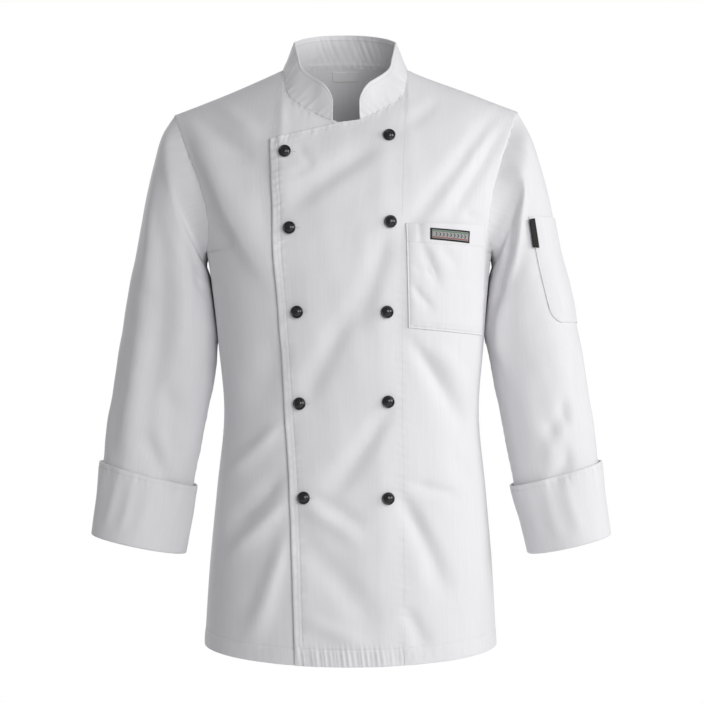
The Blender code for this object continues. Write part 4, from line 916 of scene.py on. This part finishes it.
def cuff_profile():
    """Shares down the sleeve and distances off it along a cuff, from the inner leg's top to the band's top."""
    inner, outer = -0.0008, CUFF_STAND
    turn = np.linspace(-math.pi / 2, math.pi / 2, 13)
    leg = np.linspace(SLEEVE_END + 0.001, CUFF_END - CUFF_TURN, 10)[:-1]
    fold = CUFF_END - CUFF_TURN + CUFF_TURN * np.cos(turn)
    spots = places(CUFF_BAND, 0.0030, [CUFF_BAND - CUFF_EDGE_STITCH], first=False)
    band = CUFF_END - CUFF_TURN - spots[1:] / SLEEVE_LENGTH
    lift = (inner + outer) / 2 + (outer - inner) / 2 * np.sin(turn)
    return (np.concatenate([leg, fold, band]),
            np.concatenate([np.full(len(leg), inner), lift, np.full(len(band), outer)]))


for side, seed in (("left", 81), ("right", 91)):
    down, lift = cuff_profile()
    gape = CUFF_GAPE[side] * ease((CUFF_TOP + 0.10 - down) / 0.10) * (lift >= CUFF_STAND - 1e-6)
    towards_body = 0.5 - 0.5 * np.cos(ROUND)
    loose = 0.0009 * np.sin(3 * ROUND + 0.6) + 0.0006 * np.sin(5 * ROUND + 2.0)
    slack = ease(gape / CUFF_GAPE[side])
    lift = lift[:, None] + gape[:, None] * towards_body[None, :] ** 2 + slack[:, None] * loose[None, :]
    shape = SHAPE[side]
    cloth = on_sleeve(side, down, ROUND, lift)
    run, around = along(cloth.points, 0), along(cloth.points, 1)
    to_top = run[-1:] - run
    on_band = ease((run - 0.036) / 0.02)
    relief = on_band * (groove(to_top - CUFF_EDGE_STITCH, 0.0003)
                        + puckered(around, to_top - CUFF_EDGE_STITCH, CUFF_GATHERS["stitch"], seed)
                        + puckered(around, to_top - 0.05, CUFF_GATHERS["band"], seed + 1))
    middle = cloth.points + cloth.out * relief[..., None]
    cuff = shell(f"cuff_{side}_cloth", middle, cloth.out, rim(cloth.points, ("first", "last")), CUFF, closed=True)
    row = int(np.argmin(np.abs(to_top.mean(1) - CUFF_EDGE_STITCH)))
    line = np.append(middle[row] + cloth.out[row] * CUFF / 2, [middle[row, 0] + cloth.out[row, 0] * CUFF / 2], 0)
    thread = stitches(f"cuff_{side}_stitches", [Cloth(line, np.append(cloth.out[row], cloth.out[row, :1], 0))])
    sew_on(cuff, [f"cuff_{side}"])

# -------------------------------------------------------------------------------------------------- the collar
# A stand collar of doubled twill with a firm lining, its front corners rounded. Its foot is sewn into the neckline,
# where the layers draw up small gathers, and its rim is turned and edge-stitched.
COLLAR = 0.0021
COLLAR_HEIGHT = 0.041
COLLAR_ROUND = 0.020
COLLAR_TUCK = 0.0010
COLLAR_MIDDLE = (-0.007, -0.010)
COLLAR_STITCH = 0.0052
Inward = namedtuple("Inward", "degrees share drop")
COLLAR_INWARD = [Inward(0, 0.05, 0.0000), Inward(25, 0.08, 0.0000), Inward(60, 0.42, 0.0010),
                 Inward(88, 0.40, 0.0042), Inward(112, 0.34, 0.0006), Inward(135, 0.28, -0.0006),
                 Inward(180, 0.22, -0.0006)]
COLLAR_GATHERS = {"foot": Gathers(0.0085, 0.009, 0.0014, 0.6), "front": Gathers(0.0210, 0.016, 0.0016, 0.5),
                  "back": Gathers(0.0080, 0.020, 0.0018)}


def collar_foot():
    """The collar's seam line, from its left front end round the back to its right one."""
    corners = neckline(200)
    back_x = NECK_WIDTH * np.sin(np.linspace(math.pi / 2, 0, 140))[2:]
    halves = []
    for mirror, lift in ((1, lap_lift), (-1, lambda x, z: 0.0)):
        x, z = corners[:-1, 0] * mirror, corners[:-1, 1]
        behind = body(back_x * mirror, back_neck(back_x), "back")
        halves.append(np.concatenate([body(x, z, "front", lift(x, z)), behind]))
    line = np.concatenate([halves[0], halves[1][-2::-1]])
    run = along(line[None], 1)[0]
    spots = places(run[-1], 0.0018)
    return np.stack([np.interp(spots, run, line[:, i]) for i in range(3)], -1), spots


def shares(length, cell, fine=()):
    """Places along a length as shares of it."""
    return places(length, cell, fine) / length


foot, run = collar_foot()
middle_line = np.array(COLLAR_MIDDLE)
inward = middle_line - foot[:, :2]
inward /= np.linalg.norm(inward, axis=1, keepdims=True)
degrees = np.degrees(np.arctan2(np.abs(foot[:, 0] - middle_line[0]), middle_line[1] - foot[:, 1]))
share = column(COLLAR_INWARD, "degrees", "share", degrees)
rise = np.concatenate([inward * share[:, None], np.sqrt(1 - share**2)[:, None]], axis=1)
from_end = np.clip(np.minimum(run, run[-1] - run) / COLLAR_ROUND, 0, 1)
height = COLLAR_HEIGHT - COLLAR_ROUND * (1 - np.sqrt(1 - (1 - from_end) ** 2))
height = height - column(COLLAR_INWARD, "degrees", "drop", degrees)
spots = shares(COLLAR_HEIGHT, 0.0020, [COLLAR_HEIGHT - COLLAR_STITCH])
grid = foot + rise * (-COLLAR_TUCK + (height + COLLAR_TUCK)[None, :, None] * spots[:, None, None])
out = np.cross(np.gradient(grid, axis=1), np.gradient(grid, axis=0))
out /= np.linalg.norm(out, axis=-1, keepdims=True)
out *= np.sign(np.sum(out * (grid - grid * [0, 0, 1] - [*COLLAR_MIDDLE, 0])))
up = along(grid, 0)
at_back = ease((degrees - 110) / 40)[None, :]
round_it = along(grid, 1)
collar_relief = (groove(rim(grid, ("last", "start", "end")) - COLLAR_STITCH, 0.0004)
                 + puckered(round_it, up - 0.004, COLLAR_GATHERS["foot"], 101)
                 + groove(up - 0.0045, 0.0009) * at_back
                 + puckered(round_it, up - 0.020, COLLAR_GATHERS["front"], 103) * (1 - at_back)
                 + puckered(round_it, up - 0.022, COLLAR_GATHERS["back"], 102) * at_back)
collar_middle = grid + out * collar_relief[..., None]
collar = shell("collar_cloth", collar_middle, out, rim(grid, sewn=("first",)), COLLAR)
row = int(np.argmin(np.abs((up[-1:] - up).mean(1) - COLLAR_STITCH)))
inner_rows = np.s_[row, 12:-12]
collar_thread = stitches("collar_stitches", [
    Cloth(collar_middle[inner_rows] + out[inner_rows] * COLLAR / 2, out[inner_rows]),
    Cloth(collar_middle[inner_rows] - out[inner_rows] * COLLAR / 2, -out[inner_rows])])
sew_on(collar, ["collar"])

# ---------------------------------------------------------------------------------------- the chest pocket
# A patch pocket on the wearer's left chest, with a deep turned-down band at its open top. Its sides and foot are
# edge-stitched to the front, the foot twice, and its mouth stands a little open.
POCKET_LEFT, POCKET_RIGHT = 0.0690, 0.1620
POCKET_TOP, POCKET_FOOT = -0.2030, -0.3290
POCKET_TILT = 0.0085
POCKET_FLARE = 0.0050
POCKET_BAND = 0.0235
POCKET_WIDE, POCKET_DEEP = 0.0935, 0.130
POCKET_STITCH, POCKET_SECOND_STITCH = 0.0022, 0.0075
POCKET_GATHERS = {"side": Gathers(0.0075, 0.006, 0.0007), "foot": Gathers(0.0080, 0.007, 0.0007)}
POCKET_FOLDS = [
    Fold(0.0852, -0.1960, 0.0850, -0.2330, 0.0030, 0.0036, -0.0013),
    Fold(0.0830, -0.2200, 0.1100, -0.2920, 0.0060, 0.0100, -0.0030, 0.80, 0.002),
    Fold(0.0700, -0.2585, 0.1080, -0.2620, 0.0045, 0.0055, -0.0009),
    Fold(0.0690, -0.2740, 0.1020, -0.3130, 0.0062, 0.0080, -0.0026, 0.80, 0.001),
    Fold(0.1110, -0.2290, 0.1310, -0.2590, 0.0055, 0.0065, -0.0012),
    Fold(0.1200, -0.2710, 0.1580, -0.2765, 0.0050, 0.0060, -0.0009),
    Fold(0.0930, -0.2260, 0.1200, -0.2700, 0.0080, 0.0100, 0.0014),
]


def on_pocket(s, t, lift=0.0):
    """Cloth on the pocket's outside, at shares s across it from the left and t down it."""
    x = POCKET_LEFT + (POCKET_RIGHT - POCKET_LEFT + POCKET_FLARE * (1 - t)) * s
    z = POCKET_TOP * (1 - t) + (POCKET_FOOT - POCKET_TILT * s) * t
    sewn = np.minimum.reduce([s, 1 - s, (1 - t) * 1.3])
    open_mouth = ease((0.22 - t) / 0.22) * ease(sewn / 0.35)
    full = 0.0017 + 0.0010 * ease(sewn / 0.10) + 0.0022 * open_mouth
    return on_body(x, z, "front", full + fold_height(POCKET_FOLDS, x, z) * ease(sewn / 0.12) + lift)


s, t = np.meshgrid(shares(POCKET_WIDE, 0.0019, [POCKET_STITCH]),
                   shares(POCKET_DEEP, 0.0020, [POCKET_BAND, POCKET_DEEP - POCKET_STITCH]))
cloth = on_pocket(s, t)
down, across = along(cloth.points, 0), along(cloth.points, 1)
to_foot, to_side = down[-1:] - down, np.minimum(across, across[:, -1:] - across)
edge_away = np.minimum(to_foot, to_side) - POCKET_STITCH
in_band = POCKET_BAND + 0.0008 + 0.004 * s - down
relief = (groove(edge_away, 0.0005) + groove(in_band - 0.0008, 0.0005) + 0.5 * doubled(in_band, 0.0005)
          + groove(to_foot - POCKET_SECOND_STITCH, 0.0004) + puckered(down, to_side, POCKET_GATHERS["side"], 111)
          + puckered(across, to_foot, POCKET_GATHERS["foot"], 112))
pocket, pocket_face = cut("chest_pocket_cloth", cloth, relief, CLOTH + doubled(in_band, 0.0005))


def nearest(distances, at, axis):
    return np.abs(distances - at).argmin(axis)


def trace(face, rows, columns):
    return Cloth(face.points[rows, columns], face.out[rows, columns])


all_rows, all_columns = np.arange(s.shape[0]), np.arange(s.shape[1])
left_line, right_line = nearest(across, POCKET_STITCH, 1), nearest(across[:, -1:] - across, POCKET_STITCH, 1)
foot_line, second_line = nearest(to_foot, POCKET_STITCH, 0), nearest(to_foot, POCKET_SECOND_STITCH, 0)
pocket_thread = stitches("chest_pocket_stitches", [
    trace(pocket_face, all_rows[:-3], left_line[:-3]), trace(pocket_face, all_rows[:-3], right_line[:-3]),
    trace(pocket_face, foot_line[3:-3], all_columns[3:-3]),
    trace(pocket_face, second_line[3:-3], all_columns[3:-3]),
    trace(pocket_face, nearest(in_band, 0.0008, 0)[2:-2], all_columns[2:-2])])
sew_on(pocket, ["chest_pocket"])

# ------------------------------------------------------------------------------------------- the chest label
# A small woven label sewn to the pocket's band: a black border, a pale ground, and a plain row of dark chevrons
# between thin green and red stripes.
LABEL_X, LABEL_Z = (0.0965, 0.1450), (-0.2087, -0.2224)
LABEL_TILT = 0.0025
BORDER_LIFT, GROUND_LIFT, MARK_LIFT = 0.0009, 0.0011, 0.0013
MARK_THICK = 0.0003


def woven(name, colour):
    """Satin ribbon: one colour with the fine ribs of its weft, and painted shade that colours each rib's hollow a
    fifth darker.
    """
    if name in bpy.data.materials:
        return bpy.data.materials[name]
    made, nodes, links, shader = new_material(name, Roughness=0.5, Sheen_Weight=0.2)
    place = nodes.new("ShaderNodeTexCoord")
    rib = nodes.new("ShaderNodeTexWave")
    rib.bands_direction = "Z"
    settle(rib, Scale=900.0)
    # painted shade: the colour drops to 0.8 of the ribbon's own where the rib bump dips, so the hollows look shaded
    tint = nodes.new("ShaderNodeMix")
    tint.data_type = "RGBA"
    tint.inputs[6].default_value = (*(c * 0.8 for c in colour), 1)
    tint.inputs[7].default_value = (*colour, 1)
    bump = nodes.new("ShaderNodeBump")
    settle(bump, Strength=0.35, Distance=0.0001)
    links.new(place.outputs["Object"], rib.inputs["Vector"])
    links.new(rib.outputs["Fac"], tint.inputs[0])
    links.new(rib.outputs["Fac"], bump.inputs["Height"])
    links.new(tint.outputs[2], shader.inputs["Base Color"])
    links.new(bump.outputs["Normal"], shader.inputs["Normal"])
    return made


def black_ribbon():
    return woven("black_ribbon", (0.012, 0.012, 0.014))


def on_label(s, t, lift):
    """Cloth over the pocket's band, at shares s across the label and t down it."""
    x = LABEL_X[0] + (LABEL_X[1] - LABEL_X[0]) * s
    z = LABEL_Z[0] + (LABEL_Z[1] - LABEL_Z[0]) * t - LABEL_TILT * s
    down = (POCKET_TOP - z) / (POCKET_TOP - POCKET_FOOT)
    across = (x - POCKET_LEFT) / (POCKET_RIGHT - POCKET_LEFT + POCKET_FLARE)
    return on_pocket(across, down, lift)


s, t = np.meshgrid(np.linspace(0, 1, 41), np.linspace(0, 1, 15))
label, _ = cut("chest_label_border", on_label(s, t, BORDER_LIFT), thick=0.0006)
inside_s, inside_t = 0.035 + 0.93 * s, 0.13 + 0.74 * t
field, _ = cut("chest_label_ground", on_label(inside_s, inside_t, GROUND_LIFT), thick=0.0004)
field.data.materials.append(woven("pale_ribbon", (0.34, 0.345, 0.335)))
marks = []
for number, place in enumerate(np.linspace(0.14, 0.86, 9)):
    lean = 0.030 * (1 - np.abs(2 * t - 1))
    mark = on_label(place - 0.016 + 0.020 * s + lean, 0.34 + 0.32 * t, MARK_LIFT)
    chevron, _ = cut(f"chest_label_chevron_{number}", mark, thick=MARK_THICK)
    chevron.data.materials.append(black_ribbon())
    marks.append(chevron)
for name, colour, at in (("green", (0.03, 0.17, 0.07), 0.20), ("red", (0.34, 0.02, 0.025), 0.73)):
    mark = on_label(0.06 + 0.88 * s, at + 0.07 * t, MARK_LIFT)
    stripe, _ = cut(f"chest_label_{name}_stripe", mark, thick=MARK_THICK)
    stripe.data.materials.append(woven(f"{name}_ribbon", colour))
    marks.append(stripe)
for mark in [field] + marks:
    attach(mark, "root")
sew_on(label, ["chest_label"],
       cloth=black_ribbon)

# ---------------------------------------------------------------------------- the sleeve pocket and its tab
# A pen pocket of twill sewn round the outside of the left sleeve, with rounded foot corners, and a folded black
# ribbon tab caught in the top of its front edge.
Level = namedtuple("Level", "turn top foot")
SLEEVE_POCKET_LEVELS = [Level(-70, 0.144, 0.416), Level(-40, 0.183, 0.433), Level(-20, 0.200, 0.440),
                        Level(0, 0.208, 0.443), Level(20, 0.206, 0.440), Level(50, 0.183, 0.430),
                        Level(80, 0.138, 0.411)]
SLEEVE_POCKET_WIDE, SLEEVE_POCKET_DEEP = 0.140, 0.130
SLEEVE_POCKET_FRONT, SLEEVE_POCKET_REAR = (78, 66), (-66, -58)
SLEEVE_POCKET_ROUND, SLEEVE_POCKET_CORNER = 0.12, 14
SLEEVE_POCKET_LIFT, SLEEVE_POCKET_STITCH = 0.0014, 0.0022
SLEEVE_POCKET_GATHERS = Gathers(0.0080, 0.006, 0.0007)
TAG_TURN, TAG_DOWN, TAG_SLANT, TAG_LIFT = (79, 69), (0.147, 0.217), 0.016, 0.0042
SLEEVE_STEP = 0.003
NET_DOWN, NET_TURN = np.arange(0.11, 0.50, SLEEVE_STEP), np.arange(96.0, -84.0, -1.0)


def sleeve_net(lift):
    """The left sleeve's cloth over a close net of places, to read single places from."""
    return on_sleeve("left", NET_DOWN, np.radians(NET_TURN), lift)


def picked(net, down, turn):
    """Places of the net, for equal arrays of shares down the sleeve and degrees round it."""
    row, step = (down - NET_DOWN[0]) / SLEEVE_STEP, NET_TURN[0] - turn
    i, j = row.astype(int), step.astype(int)
    u, v = (row - i)[..., None], (step - j)[..., None]
    return Cloth(*((part[i, j] * (1 - v) + part[i, j + 1] * v) * (1 - u)
                   + (part[i + 1, j] * (1 - v) + part[i + 1, j + 1] * v) * u for part in net))


across, share = np.meshgrid(shares(SLEEVE_POCKET_WIDE, 0.0026), shares(SLEEVE_POCKET_DEEP, 0.0024))
low = np.clip(1 - (1 - share) / SLEEVE_POCKET_ROUND, 0, 1)
drawn_in = SLEEVE_POCKET_CORNER * (1 - np.sqrt(1 - low**2))
front_edge = SLEEVE_POCKET_FRONT[0] * (1 - share) + SLEEVE_POCKET_FRONT[1] * share - drawn_in
rear_edge = SLEEVE_POCKET_REAR[0] * (1 - share) + SLEEVE_POCKET_REAR[1] * share + drawn_in
turn = front_edge + (rear_edge - front_edge) * across
top = column(SLEEVE_POCKET_LEVELS, "turn", "top", turn)
foot_share = column(SLEEVE_POCKET_LEVELS, "turn", "foot", turn)
cloth = picked(sleeve_net(SLEEVE_POCKET_LIFT), top + (foot_share - top) * share, turn)
edge_away = rim(cloth.points, ("last", "start", "end"))
down = along(cloth.points, 0)
relief = (groove(edge_away - SLEEVE_POCKET_STITCH, 0.0005)
          + puckered(down, edge_away, SLEEVE_POCKET_GATHERS, 121)
          + groove(down - 0.018, 0.0004) * ease(edge_away / 0.004) + 0.0012 * ease(edge_away / 0.03))
sleeve_pocket, pocket_face = cut("sleeve_pocket_cloth", cloth, relief)
across = along(cloth.points, 1)
rows_down, columns_across = np.arange(down.shape[0]), np.arange(down.shape[1])
line = nearest(across, SLEEVE_POCKET_STITCH, 1)
rear_line = nearest(across[:, -1:] - across, SLEEVE_POCKET_STITCH, 1)
foot_line = nearest(down[-1:] - down, SLEEVE_POCKET_STITCH, 0)
pocket_thread = stitches("sleeve_pocket_stitches", [
    trace(pocket_face, rows_down[:-2], line[:-2]), trace(pocket_face, rows_down[:-2], rear_line[:-2]),
    trace(pocket_face, foot_line[2:-2], columns_across[2:-2])])
sew_on(sleeve_pocket, ["sleeve_pocket"])

across, share = np.meshgrid(np.linspace(0, 1, 9), np.linspace(0, 1, 24))
turn = TAG_TURN[0] + (TAG_TURN[1] - TAG_TURN[0]) * across
cloth = picked(sleeve_net(TAG_LIFT), TAG_DOWN[0] + (TAG_DOWN[1] - TAG_DOWN[0]) * share + TAG_SLANT * across, turn)
tab, _ = cut("sleeve_tab_ribbon", cloth, thick=0.0015)
sew_on(tab, ["sleeve_tab"],
       cloth=black_ribbon)

# ---------------------------------------------------------------------------------------- the neck label
# A blank white satin label, sewn flat inside the back just below the collar.
NECK_LABEL_X = 0.0165
NECK_LABEL_GAP = 0.0010
NECK_LABEL_Z = (0.0070, -0.0050)

s, t = np.meshgrid(shares(2 * NECK_LABEL_X, 0.0015), shares(NECK_LABEL_Z[0] - NECK_LABEL_Z[1], 0.0012))
cloth = on_body(NECK_LABEL_X * (2 * s - 1), NECK_LABEL_Z[0] + (NECK_LABEL_Z[1] - NECK_LABEL_Z[0]) * t, "back",
                -CLOTH - NECK_LABEL_GAP)
cloth = Cloth(cloth.points, -cloth.out)
neck_label, _ = cut("neck_label_satin", cloth, thick=0.0006)
sew_on(neck_label, ["neck_label"],
       cloth=lambda: woven("white_ribbon", (0.93, 0.93, 0.93)))

# ------------------------------------------------------------------------------------------- the stud buttons
# Ten black moulded studs with a raised rim and a domed middle, pushed through worked buttonholes. Each is turned
# round its own axis, and faces the front a little more than the cloth below it does.
STUD_RADIUS = 0.0077
STUD_SQUARE = 0.6
# Beside a stud of the right row its worked slit shows; below one of the left row it stays hidden.
SLIT = {"right": (0.0086, 0.0142), "left": (-0.004, 0.004)}
SLIT_HALF = 0.0004
Knob = namedtuple("Knob", "radius height")
STUD_PROFILE = [Knob(0.45, 0.0008), Knob(0.86, 0.0008), Knob(0.96, 0.0014), Knob(1.00, 0.0024), Knob(0.99, 0.0032),
                Knob(0.95, 0.0038), Knob(0.89, 0.0041), Knob(0.83, 0.0040), Knob(0.785, 0.0036), Knob(0.75, 0.0035),
                Knob(0.71, 0.0038), Knob(0.62, 0.0046), Knob(0.50, 0.0053), Knob(0.36, 0.0059), Knob(0.20, 0.0062),
                Knob(0.00, 0.0063)]
Stud = namedtuple("Stud", "x height")
STUDS = {
    "right": [Stud(-0.0749, -0.1154), Stud(-0.0705, -0.2093), Stud(-0.0636, -0.3100), Stud(-0.0622, -0.4204),
              Stud(-0.0567, -0.5333)],
    "left": [Stud(0.0521, -0.0948), Stud(0.0500, -0.2020), Stud(0.0436, -0.3100), Stud(0.0442, -0.4178),
             Stud(0.0440, -0.5339)],
}


def black_moulding():
    """Glossy black moulded plastic with faint polishing marks."""
    made, nodes, links, shader = new_material("black_moulding", Base_Color=(0.008, 0.008, 0.010, 1),
                                              Coat_Weight=0.4, Coat_Roughness=0.08)
    place = nodes.new("ShaderNodeTexCoord")
    marks = nodes.new("ShaderNodeTexNoise")
    settle(marks, Scale=700.0)
    rough = nodes.new("ShaderNodeMapRange")
    settle(rough, To_Min=0.16, To_Max=0.34)
    links.new(place.outputs["Object"], marks.inputs["Vector"])
    links.new(marks.outputs["Fac"], rough.inputs["Value"])
    links.new(rough.outputs["Result"], shader.inputs["Roughness"])
    return made


def turned(name, profile, radius, sides=40):
    """A mesh turned round its axis, closed at its foot and its crown."""
    angles = np.linspace(0, 2 * math.pi, sides, endpoint=False)
    rings = [np.stack([radius * k.radius * np.cos(angles), radius * k.radius * np.sin(angles),
                       np.full(sides, k.height)], 1) for k in profile[:-1]]
    points = np.concatenate(rings + [[[0, 0, profile[-1].height], [0, 0, profile[0].height]]])
    crown, base = len(points) - 2, len(points) - 1
    faces = [(i * sides + j, i * sides + (j + 1) % sides, (i + 1) * sides + (j + 1) % sides, (i + 1) * sides + j)
             for i in range(len(rings) - 1) for j in range(sides)]
    last = (len(rings) - 1) * sides
    faces += [(last + j, last + (j + 1) % sides, crown) for j in range(sides)]
    faces += [((j + 1) % sides, j, base) for j in range(sides)]
    mesh = bpy.data.meshes.new(name)
    mesh.from_pydata(points, [], faces)
    mesh.shade_smooth()
    return mesh


stud_mesh = turned("stud", STUD_PROFILE, STUD_RADIUS)
stud_mesh.materials.append(black_moulding())
worked = []
for row_name, studs in STUDS.items():
    for number, stud in enumerate(studs, 1):
        name = f"button_{row_name}_{number}"
        at = on_body([stud.x], [stud.height], "front", lap_lift(stud.x, stud.height))
        piece = put(name + "_stud", stud_mesh)
        facing = Vector(at.out[0] * STUD_SQUARE + np.array([0, -1, 0]) * (1 - STUD_SQUARE))
        piece.rotation_euler = facing.to_track_quat("Z", "Y").to_euler()
        piece.location = Vector(at.points[0] + at.out[0] * 0.0003)
        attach(piece, "root")
        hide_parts(name)
        for offset in (-SLIT_HALF, SLIT_HALF):
            worked.append(on_body(stud.x + np.linspace(*SLIT[row_name], 12), stud.height + offset, "front",
                                  lap_lift(stud.x, stud.height) + 0.0002))
stitches("buttonhole_stitches", worked, pitch=0.0007, long=0.0010, thick=0.00022)

# ------------------------------------------------------------------------------------------------ the studio
# A pale floor below the hanging jacket, a level camera in front of it, and three large soft lights: one in front
# towards the wearer's left, one at that side, and one behind. The world adds a faint even light.
CAMERA_AWAY, CAMERA_HEIGHT, FOCAL_PIXELS, FRAME_PIXELS, SENSOR = 2.2, -0.3575, 1732.0, 703.0, 36.0
camera = bpy.data.cameras.new("camera")
camera.sensor_width = SENSOR
camera.lens = FOCAL_PIXELS / FRAME_PIXELS * SENSOR
camera.clip_end = 30.0
viewer = put("camera", camera)
viewer.location = (0.0, -CAMERA_AWAY, CAMERA_HEIGHT)
viewer.rotation_euler = (math.pi / 2, 0.0, 0.0)
bpy.context.scene.camera = viewer

floor_mesh = turned("floor", [Knob(0.98, -1.46), Knob(1.00, -1.44), Knob(0.98, -1.42), Knob(0.0, -1.42)], 2.7, 64)
floor_mesh.materials.append(new_material("pale_floor", Base_Color=(0.75, 0.75, 0.75, 1), Roughness=0.8)[0])
floor = put("floor", floor_mesh)

Lamp = namedtuple("Lamp", "name place aim size power")
LAMPS = [Lamp("key", (2.8, -0.75, 0.35), (0.0, 0.0, -0.35), 1.3, 33.0),
         Lamp("front", (1.17, -2.64, 0.35), (0.0, 0.0, -0.35), 1.8, 39.0),
         Lamp("rim", (-1.5, 2.2, 0.7), (0.0, 0.0, -0.35), 1.4, 34.0)]
for lamp in LAMPS:
    light = bpy.data.lights.new(lamp.name, "AREA")
    light.size = lamp.size
    light.energy = lamp.power
    holder = put(lamp.name, light)
    holder.location = lamp.place
    holder.visible_camera = False
    holder.rotation_euler = (Vector(lamp.aim) - Vector(lamp.place)).to_track_quat("-Z", "Y").to_euler()

world = bpy.data.worlds.new("studio")
world.use_nodes = True
bpy.context.scene.world = world
nodes, links = world.node_tree.nodes, world.node_tree.links
ambient = nodes["Background"]
settle(ambient, Color=(0.97, 0.965, 1.0, 1), Strength=0.31)
plain = nodes.new("ShaderNodeBackground")
settle(plain, Color=(1, 1, 1, 1))
seen = nodes.new("ShaderNodeLightPath")
choose = nodes.new("ShaderNodeMixShader")
links.new(seen.outputs["Is Camera Ray"], choose.inputs["Fac"])
links.new(ambient.outputs["Background"], choose.inputs[1])
links.new(plain.outputs["Background"], choose.inputs[2])
links.new(choose.outputs["Shader"], nodes["World Output"].inputs["Surface"])
bpy.context.scene.view_settings.view_transform = "Standard"
